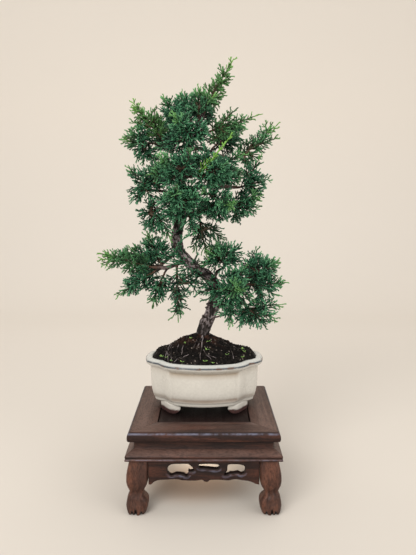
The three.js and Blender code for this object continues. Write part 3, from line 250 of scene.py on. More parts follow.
bend = np.linspace(-90, 0, 24)
lying = np.array(FLOOR_TONES)
sweep_y = np.concatenate([lying[:, 0], FLOOR_BEND + FLOOR_RADIUS * np.cos(np.radians(bend)),
                          [FLOOR_BEND + FLOOR_RADIUS]])
sweep_z = np.concatenate([0 * lying[:, 0], FLOOR_RADIUS * (1 + np.sin(np.radians(bend))),
                          [FLOOR_TOP]])
tones = np.concatenate([lying[:, 1], np.interp(sweep_z[len(lying):], *np.array(BEND_TONES).T)])
sheet = np.array([[[side * FLOOR_HALF_WIDTH, y, z] for side in (-1, 1)]
                  for y, z in zip(sweep_y, sweep_z)])
floor = add_mesh("studio_floor", sheet.reshape(-1, 3), [grid_faces(len(sweep_y), 2, False)],
                 {"tone": tones.repeat(2)})
floor.data.materials.append(paper)


# Stand wood: dark rosewood, oiled and rubbed, with straight brown-black grain and open pores.
# Every board has its grain along its own length, so each way a board lies has a material of its
# own. The rails' upper sides are greyed by dust and lighter as painted top light, the beads carry
# a painted blue highlight, and coves, undersides and the openings' edges are darkened by grime
# and painted shade.
WOOD_DARK = (0.018, 0.0065, 0.0048)
WOOD_WARM = (0.068, 0.024, 0.015)
LEG_WARM = (0.104, 0.041, 0.025)
LEG_DARK = (0.044, 0.018, 0.012)
# Laid over the grain: dust with painted top light, a painted blue highlight, and near black for
# grime and painted shade
WOOD_WORN_AND_LIT = (0.114, 0.065, 0.052)
WOOD_PAINTED_SHEEN = (0.130, 0.135, 0.190)
WOOD_GRIME_AND_SHADE = (0.006, 0.004, 0.004)
GRAIN_SOCKETS = {
    "INPUT": {"Grain place": "Vector", "Pore place": "Vector", "Dark": "Color", "Warm": "Color",
              "Worn and lit": "Color", "Wear and light": "Float", "Painted sheen": "Float", "Grime and shade": "Float"},
    "OUTPUT": {"Color": "Color", "Roughness": "Float", "Height": "Float"},
}


def shaded(colour, share):
    """A colour times a share."""
    return tuple(share * c for c in colour)


def stretched(tree, place, scale):
    """A place whose pattern is drawn out along each axis with a scale below one."""
    return node(tree, "ShaderNodeMapping", {"Vector": place, "Scale": scale}).outputs["Vector"]


def roughen(tree, shader, height, strength, depth, **settings):
    """Fine relief of a surface, drawn by a number."""
    relief = node(tree, "ShaderNodeBump", {
        "Height": height, "Strength": strength, "Distance": depth * MM}, **settings)
    feed(tree, shader, Normal=relief.outputs["Normal"])


grain_group = bpy.data.node_groups.new("rosewood grain", "ShaderNodeTree")
for way, sockets in GRAIN_SOCKETS.items():
    for socket, kind in sockets.items():
        grain_group.interface.new_socket(socket, in_out=way, socket_type=f"NodeSocket{kind}")
given = node(grain_group, "NodeGroupInput").outputs
figure = noise(grain_group, given["Grain place"], 105.0, 5.0, Roughness=0.62, Distortion=0.6)
pores = noise(grain_group, given["Pore place"], 950.0, 2.0, Roughness=0.6)
bands = spread(grain_group, figure, 0.40, 0.62)
open_pores = spread(grain_group, pores, 0.34, 0.56)
# Dust with painted top light over the grain, a painted blue highlight, then near black for grime
# and painted shade
worn_and_lit = blended(grain_group, bands, shaded(WHITE, 0.80), WHITE)
worn_and_lit = blended(grain_group, 1.0, given["Worn and lit"], worn_and_lit, "MULTIPLY")
wooden = layered(grain_group, given["Dark"], (bands, given["Warm"]), (given["Wear and light"], worn_and_lit),
                 (given["Painted sheen"], WOOD_PAINTED_SHEEN))
dark_pores = blended(grain_group, open_pores, shaded(WHITE, 0.52), shaded(WHITE, 1.06))
wooden = blended(grain_group, 0.85, wooden, dark_pores, "MULTIPLY")
wooden = blended(grain_group, given["Grime and shade"], wooden, WOOD_GRIME_AND_SHADE)
dull = spread(grain_group, figure, 0.3, 0.7, 0.58, 0.42)
node(grain_group, "NodeGroupOutput", {"Color": wooden, "Roughness": dull, "Height": open_pores})


def rosewood(name, stretch, warm=WOOD_WARM, dark=WOOD_DARK, polish=1.0):
    """Rubbed rosewood whose grain is drawn out along the axis with the smallest stretch. The
    wear_and_light, painted_sheen and grime_and_shade attributes of a mesh, where it has them, grey
    and lighten it as dust and painted top light, turn it blue as a painted highlight, and blacken
    it as grime and painted shade. Its pores are drawn out less than its grain."""
    material, tree, shader = new_material(name, Coat_Weight=0.10 * polish, Coat_Roughness=0.25,
                                          Specular_IOR_Level=0.20 * polish)
    place = object_place(tree)
    shorter = tuple(max(0.28, scale) for scale in stretch)
    grain = node(tree, "ShaderNodeGroup", {
        "Grain place": stretched(tree, place, stretch),
        "Pore place": stretched(tree, place, shorter),
        "Dark": (*dark, 1), "Warm": (*warm, 1), "Worn and lit": (*WOOD_WORN_AND_LIT, 1),
        "Wear and light": mark(tree, "wear_and_light"), "Painted sheen": mark(tree, "painted_sheen"), "Grime and shade": mark(tree, "grime_and_shade"),
    }, node_tree=grain_group).outputs
    feed(tree, shader, Base_Color=grain["Color"], Roughness=grain["Roughness"])
    roughen(tree, shader, grain["Height"], 0.5, 0.2)
    return material


wood_across = rosewood("rosewood_across", (0.10, 1, 1))
wood_deep = rosewood("rosewood_deep", (1, 0.10, 1))
wood_upright = rosewood("rosewood_upright", (1, 1, 0.14), LEG_WARM, LEG_DARK)
wood_of_side = {"front": wood_across, "right": wood_deep, "back": wood_across, "left": wood_deep}


# Stand top: four mitred rails with a thumb-moulded outer edge, grooved inside for the panel.
# The rails are planed hardwood, glued at the mitres.
STAND_HALF_WIDTH = 75
STAND_HALF_DEPTH = 70
STAND_HEIGHT = 88
FRAME_WIDTH = 26
MITRE_GAP = 0.2
RAIL_STATIONS = 170
RAIL_PROFILE = np.array([
    (-26, 87.4), (-25.4, 88), (-14, 88), (-1.6, 88), (-0.3, 87.9), (0.1, 87.3), (0.7, 87.1),
    (1.3, 86.6), (1.75, 85.9), (2.1, 84.9), (2.35, 83.4), (2.4, 81.8), (2.3, 80.2), (1.9, 78.9),
    (1.3, 78.1), (0.4, 77.6), (-0.8, 77.5), (-3.2, 77.5), (-3.3, 79), (-12, 79), (-26, 79),
    (-26, 81.6), (-21.6, 81.6), (-21.6, 85.4), (-26, 85.4)])
# Rows of the profile that are worn and lit, that carry the painted sheen, and that are darkened by
# grime and painted shade, and how much
RAIL_SHARES = {
    "wear_and_light": {0: 0.3, 1: 0.85, 2: 1.0, 3: 0.9, 4: 0.2},
    "painted_sheen": {6: 0.3, 7: 1.0, 8: 0.5},
    "grime_and_shade": {0: 0.8, 4: 0.3, 5: 0.8, 14: 0.4, 15: 0.7},
}
# Painted shade of the crown: the share of dust and top light taken off the middle of the front
# and back rails, and half that middle
CROWN_SHADE = 0.62
CROWN_SHADE_HALF_LENGTH = 46
# How far a dent goes in and down
DENT_IN = 0.7
DENT_DOWN = 0.5
# Each side: how far it is turned, half its length and its distance from the middle
SIDES = {
    "front": (0, STAND_HALF_WIDTH, STAND_HALF_DEPTH),
    "right": (np.pi / 2, STAND_HALF_DEPTH, STAND_HALF_WIDTH),
    "back": (np.pi, STAND_HALF_WIDTH, STAND_HALF_DEPTH),
    "left": (-np.pi / 2, STAND_HALF_DEPTH, STAND_HALF_WIDTH),
}


def soft_noise(points, size, seed):
    """Random numbers from -1 to 1 on the corners of a cubic lattice of the given size, blended
    between the eight corners round each point with the smooth weight 3t^2 - 2t^3."""
    place = points / size
    cell = np.floor(place).astype(np.int64)
    part = place - cell
    part = part * part * (3 - 2 * part)
    total = np.zeros(len(points))
    for corner in range(8):
        step = np.array([corner & 1, corner >> 1 & 1, corner >> 2 & 1])
        key = (cell + step) @ np.array([73856093, 19349663, 83492791]) + 1013 * seed
        key = (key ^ (key >> 13)) * 1274126177 & 0x7FFFFFFF
        value = (key ^ (key >> 16)) % 65536 / 32767.5 - 1
        total += value * np.prod(np.where(step == 1, part, 1 - part), axis=1)
    return total


def spun(points, angle):
    """Points turned about the upright axis, by an angle for all or for each group of points."""
    x, y, z = np.moveaxis(points, -1, 0)
    c, s = np.cos(angle), np.sin(angle)
    return np.stack([c * x - s * y, s * x + c * y, z], -1)


def closed_tube(rows, columns):
    """Faces of a stack of rings: the quads between them and one face across each end."""
    ring = np.arange(columns)[None]
    return [grid_faces(rows, columns), ring[:, ::-1], ring + columns * (rows - 1)]


def turned_over(faces):
    """The same faces, facing the other way."""
    return [part[:, ::-1] for part in faces]


def mitred_strip(name, profile, side, stations, shares):
    """Closed profile of (outward, height) pairs carried along one side of the stand between two
    mitres: x runs from -(half length + outward) to +(half length + outward), less a small gap.
    shares gives some rows of the profile their share of wear and light, painted sheen, and grime
    and shade. Beads with the painted sheen are dented, and it fades in the dents; the upper parts
    of the front and back rails are painted darker in the middle, as the crown's shade."""
    turn, half_length, half_offset = SIDES[side]
    out, height = profile.T
    along = np.linspace(-1, 1, stations)[:, None]
    x = along * (half_length + out - MITRE_GAP)[None, :]
    y = np.broadcast_to(-(half_offset + out), x.shape)
    z = np.broadcast_to(height, x.shape)
    points = np.stack([x, y, z], -1).reshape(-1, 3)
    state = {}
    for kind in ("wear_and_light", "painted_sheen", "grime_and_shade"):
        rows = shares.get(kind, {})
        row = np.zeros(x.shape)
        row[:, list(rows)] = list(rows.values())
        state[kind] = row.ravel()
    on_top = (half_length > half_offset) * (points[:, 2] > 80)
    # Painted shade of the crown: dust and top light are taken off the middle of the front and back
    # rails
    crown_shade = CROWN_SHADE * np.exp(-(points[:, 0] / CROWN_SHADE_HALF_LENGTH) ** 4) * on_top
    state["wear_and_light"] *= np.clip(0.9 + 0.25 * soft_noise(points, 7.0, 7) - crown_shade, 0, 1)
    # Dents in the beads, where the painted blue highlight fades, and it fades in patches too
    knocks = soft_noise(points, 2.6, 5) + 0.6 * soft_noise(points, 9.0, 6)
    bite = np.clip(knocks - 0.55, 0, 1)
    sunk = (bite * state["painted_sheen"])[:, None] * (0, DENT_IN, -DENT_DOWN)
    patches = 1.1 * soft_noise(points, 4.2, 9) + 0.5 * soft_noise(points, 1.4, 10)
    state["painted_sheen"] *= np.clip(0.5 + patches - 2.6 * bite, 0.06, 1)
    faces = turned_over(closed_tube(stations, len(profile)))
    piece = add_mesh(name, spun(points + sunk, turn), faces, state)
    piece.data.materials.append(wood_of_side[side])
    return piece


for side in SIDES:
    rail = mitred_strip(f"rail_{side}", RAIL_PROFILE, side, RAIL_STATIONS, RAIL_SHARES)
    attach(rail, "root")
    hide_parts(f"top_rail_{side}")


# Stand panel: a flat board that floats in the rails' grooves, its top a hair below theirs and
# its edge bevelled, so that a dark line runs round it. It is darker than the rails, partly as
# painted shade, and painted nearly black as the shade of the pot, most of all in the middle.
PANEL_PLAY = 0.4
PANEL_DROP = 0.5
PANEL_TONGUE = 4.0
PANEL_CORNER = 0.5
# Each ring of the panel: how far it is grown, and its height beside the rails' top
PANEL_RINGS = [(-1.2, -7.0), (-0.4, -6.9), (0, -6.5), (0, -6), (PANEL_TONGUE, -6),
               (PANEL_TONGUE, -3), (0, -3), (0, -2.6), (-0.7, -1.0), (-1.2, -PANEL_DROP),
               (-9, -PANEL_DROP), (-15, -PANEL_DROP)]
PANEL_WARM = (0.027, 0.012, 0.010)
# How much it is painted darker as shade at its edge, nearer the middle, and in the middle
PANEL_SHADE = [0.5, 0.72, 0.92]


def panel_rings():
    """Rings of a rectangle with rounded corners, each grown by a number and set at a height."""
    quarter = np.radians(np.linspace(0, 90, 6))
    cx = np.array([1, -1, -1, 1]).repeat(len(quarter))
    cy = np.array([1, 1, -1, -1]).repeat(len(quarter))
    angle = np.concatenate([quarter + k * np.pi / 2 for k in range(4)])
    grown, level = np.array(PANEL_RINGS).T[..., None]
    inset = FRAME_WIDTH + PANEL_PLAY + PANEL_CORNER
    x = cx * (STAND_HALF_WIDTH - inset + grown) + PANEL_CORNER * np.cos(angle)
    y = cy * (STAND_HALF_DEPTH - inset + grown) + PANEL_CORNER * np.sin(angle)
    return np.dstack([x, y, STAND_HEIGHT + level + 0 * x])


rings = panel_rings()
rows, columns = rings.shape[:2]
shadowed = np.array([PANEL_SHADE[0]] * (rows - 2) + PANEL_SHADE[1:]).repeat(columns)
panel = add_mesh("panel", rings.reshape(-1, 3), closed_tube(rows, columns), {"grime_and_shade": shadowed},
                 smooth=False)
panel.data.materials.append(rosewood("rosewood_panel", (1, 0.10, 1), PANEL_WARM, polish=0.45))
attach(panel, "root")
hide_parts("top_panel")


# Waist and shoulder: four mitred mouldings glued below the rails, a recessed waist over an
# ogee shoulder with a small bead and a lip.
MOULDING_PROFILE = np.array([
    (-12, 58.6), (-12, 78.7), (-4, 78.7), (-4.1, 74), (-4.1, 69.4), (-3.8, 68.9), (-3.2, 68.7),
    (-2.2, 68.4), (-0.6, 67.5), (1.2, 66.3), (2.8, 65.2), (3.8, 64.4), (4.4, 63.7), (4.5, 62.9),
    (4.2, 62.1), (3.9, 61.5), (4.2, 60.9), (4.6, 60.6), (4.75, 60), (4.7, 59.3), (4.4, 58.8),
    (4, 58.6), (-4, 58.6)])
MOULDING_STATIONS = 130
# The ogee's upper side is dusty and lit as painted top light, and so is the top of its lowest
# bead, which carries the painted blue highlight; the waist, the small cove and the bead's
# underside are darkened by grime and painted shade
MOULDING_SHARES = {
    "wear_and_light": {17: 0.3, 16: 0.75, 15: 0.95, 14: 1.0, 13: 1.0, 12: 0.9, 11: 0.75, 10: 0.3,
             6: 0.5, 5: 0.8, 4: 0.4},
    "painted_sheen": {5: 0.5, 4: 0.3},
    "grime_and_shade": {20: 0.75, 19: 0.45, 18: 0.35, 17: 0.4, 8: 0.6, 7: 0.75, 2: 0.6},
}

for side in SIDES:
    strip = mitred_strip(f"waist_{side}", MOULDING_PROFILE[::-1], side, MOULDING_STATIONS,
                         MOULDING_SHARES)
    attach(strip, "root")
    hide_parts(f"moulding_{side}")


# Legs: four cabriole legs carved from square blocks, swelling at the knee and at the claw foot,
# with tendons down each outer face and slits between the claws, dark with old polish.
LEG_TOP = 58.3
LEG_LEVELS = np.array([
    (0, 78, 60.6), (1.3, 78.7, 59.4), (5, 79.4, 58), (10, 79.8, 57.1), (14, 79.2, 57.3),
    (17.5, 78.7, 59.4), (20.8, 77.3, 62), (24, 76.1, 61.9), (27.3, 77.2, 60.4), (31, 78.5, 58.4),
    (36, 79.3, 57), (42, 79, 57), (49, 77.8, 57), (LEG_TOP, 75.6, 57)])
# Claw gaps: place across the face from its middle outwards, and width
CLAW_GAPS = ((-4.9, 1.0), (0.7, 0.85), (4.4, 0.9))
# How far up the gaps between the claws reach, how deep they and the furrows above them are, and
# the heights of the toes' swelling, of the furrows' middle and of the knee
CLAW_HEIGHT = 8.2
CLAW_DEPTH = 3.4
FURROW_DEPTH = 0.9
TOE_HEIGHT = 11
FURROW_HEIGHT = 23
KNEE_HEIGHT = 40
LEG_ROWS = 96
LEG_COLUMNS = 104
LEG_EASING = 0.25
# Each corner of the stand: which way it lies along the stand's width, and towards its front
CORNERS = {"front_right": (1, 1), "front_left": (-1, 1), "back_right": (1, -1),
           "back_left": (-1, -1)}


def smooth_between(places, values, at):
    """Values at given places, joined by straight lines and then rounded by averaging each point
    with its neighbours; the first and last stay."""
    line = np.interp(at, places, values)
    for _ in range(3):
        line[1:-1] = 0.25 * line[:-2] + 0.5 * line[1:-1] + 0.25 * line[2:]
    return line


def carved_leg():
    """Right front leg as rings of a rounded square. At height z the square spans from an inner
    to an outer face; its corners are those of the curve |x|^n + |y|^n = 1. Claw gaps, and above
    them shallow furrows between the tendons, are bell-shaped grooves in the outer faces. Also
    gives each point's wear and light, more at the knee and toes, and how deep in a groove it lies,
    which is darkened as grime and painted shade."""
    z = np.linspace(0, LEG_TOP, LEG_ROWS)
    outer = smooth_between(LEG_LEVELS[:, 0], LEG_LEVELS[:, 1], z)[:, None]
    inner = smooth_between(LEG_LEVELS[:, 0], LEG_LEVELS[:, 2], z)[:, None]
    power = np.interp(z, [0, 10, 26, 40, LEG_TOP], [3.0, 3.8, 4.2, 6, 9])[:, None]
    angle = np.linspace(0, 2 * np.pi, LEG_COLUMNS, endpoint=False)[None, :]
    reach = (np.abs(np.cos(angle)) ** power + np.abs(np.sin(angle)) ** power) ** (-1 / power)
    u = reach * np.cos(angle)
    v = reach * np.sin(angle)
    half = (outer - inner) / 2
    x = (outer + inner) / 2 + half * u
    y = -((outer + inner) / 2 + half * v) + (STAND_HALF_WIDTH - STAND_HALF_DEPTH)
    level = z[:, None]
    hollow = np.zeros(x.shape)
    for gap, width in CLAW_GAPS:
        slit = np.clip((CLAW_HEIGHT - 0.5 * abs(gap) - level) / 6.0, 0, 1) ** 0.7
        furrow = FURROW_DEPTH * np.exp(-((level - FURROW_HEIGHT) / 9.0) ** 2)
        furrow = furrow * (gap != CLAW_GAPS[1][0])
        at = gap * (1 - 0.4 * np.exp(-((level - 25) / 9.0) ** 2))
        broad = width * (0.55 + 0.75 * slit) + 0.7 * (slit == 0)
        for across, facing, sign in ((half * v, u, 0), (half * u, v, 1)):
            bell = np.exp(-((across - at) / broad) ** 2) * np.clip((facing - 0.72) / 0.12, 0, 1)
            sunk = (CLAW_DEPTH * slit + furrow) * bell
            x = x - sunk * (1 - sign)
            y = y + sunk * sign
            hollow += np.clip(sunk / 1.6, 0, 1)
    points = np.stack([x, y, np.broadcast_to(level, x.shape)], -1).reshape(-1, 3)
    knee = np.exp(-((level - KNEE_HEIGHT) / 9.0) ** 2)
    toe = np.exp(-((level - TOE_HEIGHT) / 6.0) ** 2)
    wear_and_light = np.clip(0.30 * toe + 0.12 * knee - 0.5 * hollow, 0, 1).ravel()
    points[:, :2] += 0.2 * soft_noise(points, 4.0, 8)[:, None] * (points[:, 2:] > 0.5)
    wear_and_light = wear_and_light * np.clip(0.6 + 0.9 * soft_noise(points * (1, 1, 0.4), 2.4, 9), 0, 1)
    return points, wear_and_light, np.clip(hollow, 0, 1).ravel()


leg_points, leg_wear, leg_hollow = carved_leg()
for name, (sx, sy) in CORNERS.items():
    faces = closed_tube(LEG_ROWS, LEG_COLUMNS)
    leg = add_mesh(f"carved_leg_{name}", leg_points * (sx, sy, 1),
                   turned_over(faces) if sx * sy > 0 else faces,
                   {"wear_and_light": leg_wear, "grime_and_shade": leg_hollow})
    bevel = leg.modifiers.new("eased edges", "BEVEL")
    bevel.width = LEG_EASING * MM
    bevel.segments = 2
    bevel.limit_method = "ANGLE"
    bevel.angle_limit = np.radians(32)
    bevel.harden_normals = True
    leg.data.materials.append(wood_upright)
    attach(leg, "root")
    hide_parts(f"leg_{name}")


# Aprons: thin boards between the legs, sawn to a scalloped lower edge and pierced with three
# cloud scrolls, then carved round the openings. Their edges are rounded by hand.
APRON_THICKNESS = 6
APRON_SET_BACK = 0.5
APRON_HALF_LENGTH = 56.5
APRON_ROUNDING = 0.9
# The carved beads: distance outside the openings, radius, depth behind the apron's face, length
# of a lump, and points round them
BEAD_OUTWARD = 2.4
BEAD_RADIUS = 1.9
BEAD_SUNK = 1.5
BEAD_LUMP = 6
BEAD_ROUND = 10
APRON_EDGE = [
    (-56.5, 31.6), (-53.4, 31.8), (-50.5, 34.6), (-45, 36.4), (-36, 36.9), (-29, 37.3), (-20, 36),
    (-9, 35.7), (-2, 36.5), (0.5, 34.9), (2.5, 34.2), (4.7, 34.9), (7, 36.5), (16, 36.6), (25, 36),
    (32, 37.2), (40, 36.1), (47, 34.9), (53.4, 32.1), (56.5, 31.6)]
APRON_OPENINGS = [
    [(-37.2, 47.3), (-36.3, 50.6), (-32.8, 53.2), (-24.9, 53.8), (-16.2, 53.6), (-13.2, 51.4),
     (-10.6, 48.6), (-11, 46.6), (-13.6, 46), (-15.9, 46.4), (-15.4, 43.4), (-17.8, 41),
     (-20.6, 42.6), (-25.2, 43.3), (-29.3, 43), (-32.8, 41.7), (-35.9, 43.8)],
    [(-5.4, 51.4), (-4.8, 53.2), (5.2, 53.7), (14.7, 53), (15.5, 50.3), (13.6, 48.3), (7.5, 48.7),
     (0.8, 49.5), (-4.2, 49.7)],
    [(24.2, 51.4), (25.3, 53), (33.1, 53.4), (40.4, 52), (42, 48.5), (40.9, 44.4), (37.6, 43.2),
     (34.8, 44.7), (29.8, 43.8), (27, 43.9), (24.2, 42.4), (21.4, 42), (20.8, 43.2), (23.6, 46.2)]]


def through(points, steps, closed):
    """Smooth curve through points: on each stretch the cubic between its two ends whose slope at
    each is half the step from the point before it to the point after it."""
    points = np.asarray(points, float)
    if closed:
        padded = np.concatenate([points[-1:], points, points[:2]])
    else:
        padded = np.concatenate([2 * points[:1] - points[1:2], points,
                                 2 * points[-1:] - points[-2:-1]])
    a, b, c, d = (padded[k:len(padded) - 3 + k, None, :] for k in range(4))
    t = (np.arange(steps) / steps)[None, :, None]
    curve = 0.5 * (2 * b + (c - a) * t + (2 * a - 5 * b + 4 * c - d) * t ** 2
                   + (3 * b - 3 * c + d - a) * t ** 3)
    curve = curve.reshape(-1, points.shape[1])
    return curve if closed else np.concatenate([curve, points[-1:]])


def board_from_outlines(name, outlines):
    """Flat board with holes: the first outline is its edge and the others are its holes, drawn
    in the x-z plane. A filled curve gives the faces and the rounded edges."""
    drawing = bpy.data.curves.new(name, "CURVE")
    drawing.dimensions = "2D"
    drawing.fill_mode = "BOTH"
    drawing.extrude = (APRON_THICKNESS / 2 - APRON_ROUNDING) * MM
    drawing.bevel_depth = APRON_ROUNDING * MM
    drawing.bevel_resolution = 2
    drawing.offset = -APRON_ROUNDING * MM
    for outline in outlines:
        spline = drawing.splines.new("POLY")
        spline.points.add(len(outline) - 1)
        flat = np.zeros((len(outline), 4))
        flat[:, :2] = outline * MM
        spline.points.foreach_set("co", flat.ravel())
        spline.use_cyclic_u = True
    holder = bpy.data.objects.new(name, drawing)
    mesh = bpy.data.meshes.new_from_object(holder)
    bpy.data.objects.remove(holder)
    bpy.data.curves.remove(drawing)
    flat = np.empty(len(mesh.vertices) * 3)
    mesh.vertices.foreach_get("co", flat)
    x, z, y = flat.reshape(-1, 3).T / MM
    return mesh, np.stack([x, -y, z], -1)


def joined(parts, kinds=1):
    """Joins parts, each given as points, one or more kinds of faces, and numbers of the points."""
    starts = np.cumsum([0] + [len(part[0]) for part in parts])
    arrays = list(zip(*parts))
    for k in range(1, 1 + kinds):
        arrays[k] = [faces + start for faces, start in zip(arrays[k], starts)]
    return [np.concatenate(array) for array in arrays]


def apron_bead(outline):
    """Closed round bead that follows an outline in the x-z plane at a distance outside it: rings
    of points square to the path, the first joined to the last. It is full below the opening, in
    lumps, and thins to a quarter above it. Its lower side carries the painted blue highlight, in
    patches."""
    before, after = np.roll(outline, 1, axis=0), np.roll(outline, -1, axis=0)
    tangent = after - before
    tangent /= np.linalg.norm(tangent, axis=1)[:, None]
    normal = np.stack([tangent[:, 1], -tangent[:, 0]], -1)
    area = np.sum(before[:, 0] * outline[:, 1] - outline[:, 0] * before[:, 1])
    down = -np.sign(area) * normal[:, 1:]
    walked = np.cumsum(np.linalg.norm(outline - before, axis=1))[:, None]
    lumps = 1 + 0.08 * np.sin(2 * np.pi * walked / walked[-1] * np.round(walked[-1] / BEAD_LUMP))
    radius = BEAD_RADIUS * np.clip(0.4 + 1.1 * down, 0.25, 1) * lumps
    centre = outline + np.sign(area) * BEAD_OUTWARD * normal
    angle = np.linspace(0, 2 * np.pi, BEAD_ROUND, endpoint=False)
    x = centre[:, :1] + radius * np.cos(angle) * normal[:, :1]
    z = centre[:, 1:] + radius * np.cos(angle) * normal[:, 1:]
    y = -radius * np.sin(angle)
    points = np.stack([x, y, z], -1)
    patches = np.clip(0.55 + 0.45 * np.sin(0.45 * walked) * np.sin(0.19 * walked + 1), 0, 1)
    painted_sheen = patches * np.clip(1.4 * down - 0.3, 0, 0.6) * np.clip(0.3 + np.sin(angle - 0.4), 0, 1)
    points = np.concatenate([points, points[:1]])
    painted_sheen = np.concatenate([painted_sheen, painted_sheen[:1]])
    return points.reshape(-1, 3), grid_faces(len(points), BEAD_ROUND), painted_sheen.ravel()


for side, (turn, half_length, half_offset) in SIDES.items():
    squeeze = (half_length - STAND_HALF_WIDTH + APRON_HALF_LENGTH) / APRON_HALF_LENGTH
    narrow = np.array([squeeze, 1])
    lower = through(np.array(APRON_EDGE) * narrow, 5, False)
    half = APRON_HALF_LENGTH * squeeze
    outlines = [np.concatenate([lower, [(half, LEG_TOP), (-half, LEG_TOP)]])]
    outlines += [through(np.array(hole) * narrow, 4, True) for hole in APRON_OPENINGS]
    mesh, points = board_from_outlines(f"apron_{side}", outlines)
    front = -(half_offset - APRON_SET_BACK)
    # Painted shade: the board is darkened round the openings and on their walls, less towards its
    # back
    near = np.min([np.linalg.norm(points[:, None, ::2] - hole[None], axis=2).min(1)
                   for hole in outlines[1:]], axis=0)
    inside = np.interp(points[:, 1], (1 - APRON_THICKNESS / 2, 0), (1, 0.3))
    number_points(mesh, "grime_and_shade", 0.92 * inside * np.exp(-(near / 1.1) ** 2))
    points[:, 1] += front + APRON_THICKNESS / 2
    mesh.vertices.foreach_set("co", (spun(points, turn) * MM + STAND_MIDDLE).ravel())
    mesh.polygons.foreach_set("use_smooth", np.ones(len(mesh.polygons), bool))
    mesh.update()
    board = shown(f"pierced_apron_{side}", mesh)
    board.data.materials.append(wood_of_side[side])
    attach(board, "root")
    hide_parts(f"apron_{side}")

    beads, quads, sheens = joined([apron_bead(hole) for hole in outlines[1:]])
    beads[:, 1] += front + BEAD_SUNK
    carving = add_mesh(f"cloud_carving_{side}", spun(beads, turn), [quads], {"painted_sheen": sheens})
    carving.data.materials.append(wood_of_side[side])
    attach(carving, "root")


# Pot: slip-cast stoneware in the four-lobed mokko outline, glazed ivory. The glaze breaks to a
# slate line along the lip, and iron in the clay left specks. It is ochre under the lip and brown
# low on the wall, partly glaze that ran thin and pooled there and partly painted shade.
POT_CENTRE = np.array([0, 8])
RIM_END = 66.3
RIM_FRONT = 49
RIM_FRONT_KINK = (37, 42)
RIM_END_KINK = (50, 28.6)
RIM_SHOULDER = (63.6, 17.5)
CORNER_BULGE = 1.2
SHOULDER_BULGE = 1
PANEL_RECESS = 1.3
GLAZE_UNEVEN = 0.12
GLAZE_IVORY = (0.535, 0.515, 0.470)
GLAZE_CLOUD = (0.455, 0.435, 0.400)
GLAZE_LIP = (0.560, 0.570, 0.548)
GLAZE_OCHRE_AND_SHADE = (0.250, 0.180, 0.110)
GLAZE_POOLED_AND_SHADE = (0.185, 0.142, 0.108)
GLAZE_SLATE = (0.040, 0.050, 0.062)
GLAZE_CHIP = (0.085, 0.040, 0.024)
POT_CLAY = (0.055, 0.020, 0.018)
# Each row of the wall: inset from the rim's outline, height, share of the panel's recess
POT_WALL = np.array([
    (17, 97, 0), (14, 97.1, 0), (12.4, 97.4, 0), (11.1, 98.0, 0), (10.3, 98.8, 0), (9.95, 99.8, 0),
    (9.8, 100.8, 0), (9.6, 101.6, 0), (9.1, 102.4, 0), (8.5, 103.2, 0), (8.1, 104, 0.3),
    (7.85, 105, 0.8), (7.55, 106.2, 1.08), (7.1, 108, 1.04), (6.55, 111, 1), (6.1, 115, 1),
    (5.8, 119, 1), (5.6, 124, 1), (5.5, 129, 1), (5.4, 133, 1), (5.4, 134.8, 1),
    (5.35, 135.8, 0.85), (5.2, 136.8, 0.25), (4.7, 137.7, 0),
    (3.4, 138.8, 0), (1.8, 139.9, 0), (0.8, 140.8, 0), (0.25, 141.8, 0), (0, 142.8, 0),
    (0.02, 143.3, 0), (0.1, 143.8, 0), (0.3, 144.2, 0), (0.6, 144.5, 0), (1.5, 145, 0),
    (3.2, 145.6, 0), (5, 146.1, 0), (6.4, 146.4, 0), (7.3, 146.2, 0), (8, 145.4, 0),
    (8.3, 144, 0), (8.6, 140, 0), (9.6, 126, 0), (11, 112, 0), (14.6, 103.5, 0), (21, 100, 0)])


def arc(start, end, bulge, steps):
    """Points of the circular arc between two points that rises by bulge to the right of the
    chord, without its last point."""
    start, end = np.array(start, float), np.array(end, float)
    chord = end - start
    half = np.linalg.norm(chord) / 2
    radius = (half * half + bulge * bulge) / (2 * bulge)
    normal = np.array([chord[1], -chord[0]]) / (2 * half)
    centre = (start + end) / 2 + normal * (bulge - radius)
    first = np.arctan2(*(start - centre)[::-1])
    sweep = (np.arctan2(*(end - centre)[::-1]) - first) % (2 * np.pi)
    angle = first + sweep * np.arange(steps) / steps
    return centre + radius * np.stack([np.cos(angle), np.sin(angle)], -1)


def rim_outline():
    """Mokko outline: arcs between the kinks of four equal quarters, counter-clockwise."""
    quarter = np.array([RIM_FRONT_KINK, RIM_END_KINK, RIM_SHOULDER], float)
    corners = []
    for k, (sx, sy) in enumerate(((1, -1), (1, 1), (-1, 1), (-1, -1))):
        placed = quarter * (sx, sy)
        corners.extend(placed if k % 2 == 0 else placed[::-1])
    spans = [(CORNER_BULGE, 10), (SHOULDER_BULGE, 10), (RIM_END - RIM_SHOULDER[0], 18),
             (SHOULDER_BULGE, 10), (CORNER_BULGE, 10), (RIM_FRONT - RIM_FRONT_KINK[1], 34)]
    parts = [arc(p, corners[(k + 1) % 12], *spans[k % 6]) for k, p in enumerate(corners)]
    return np.concatenate(parts)


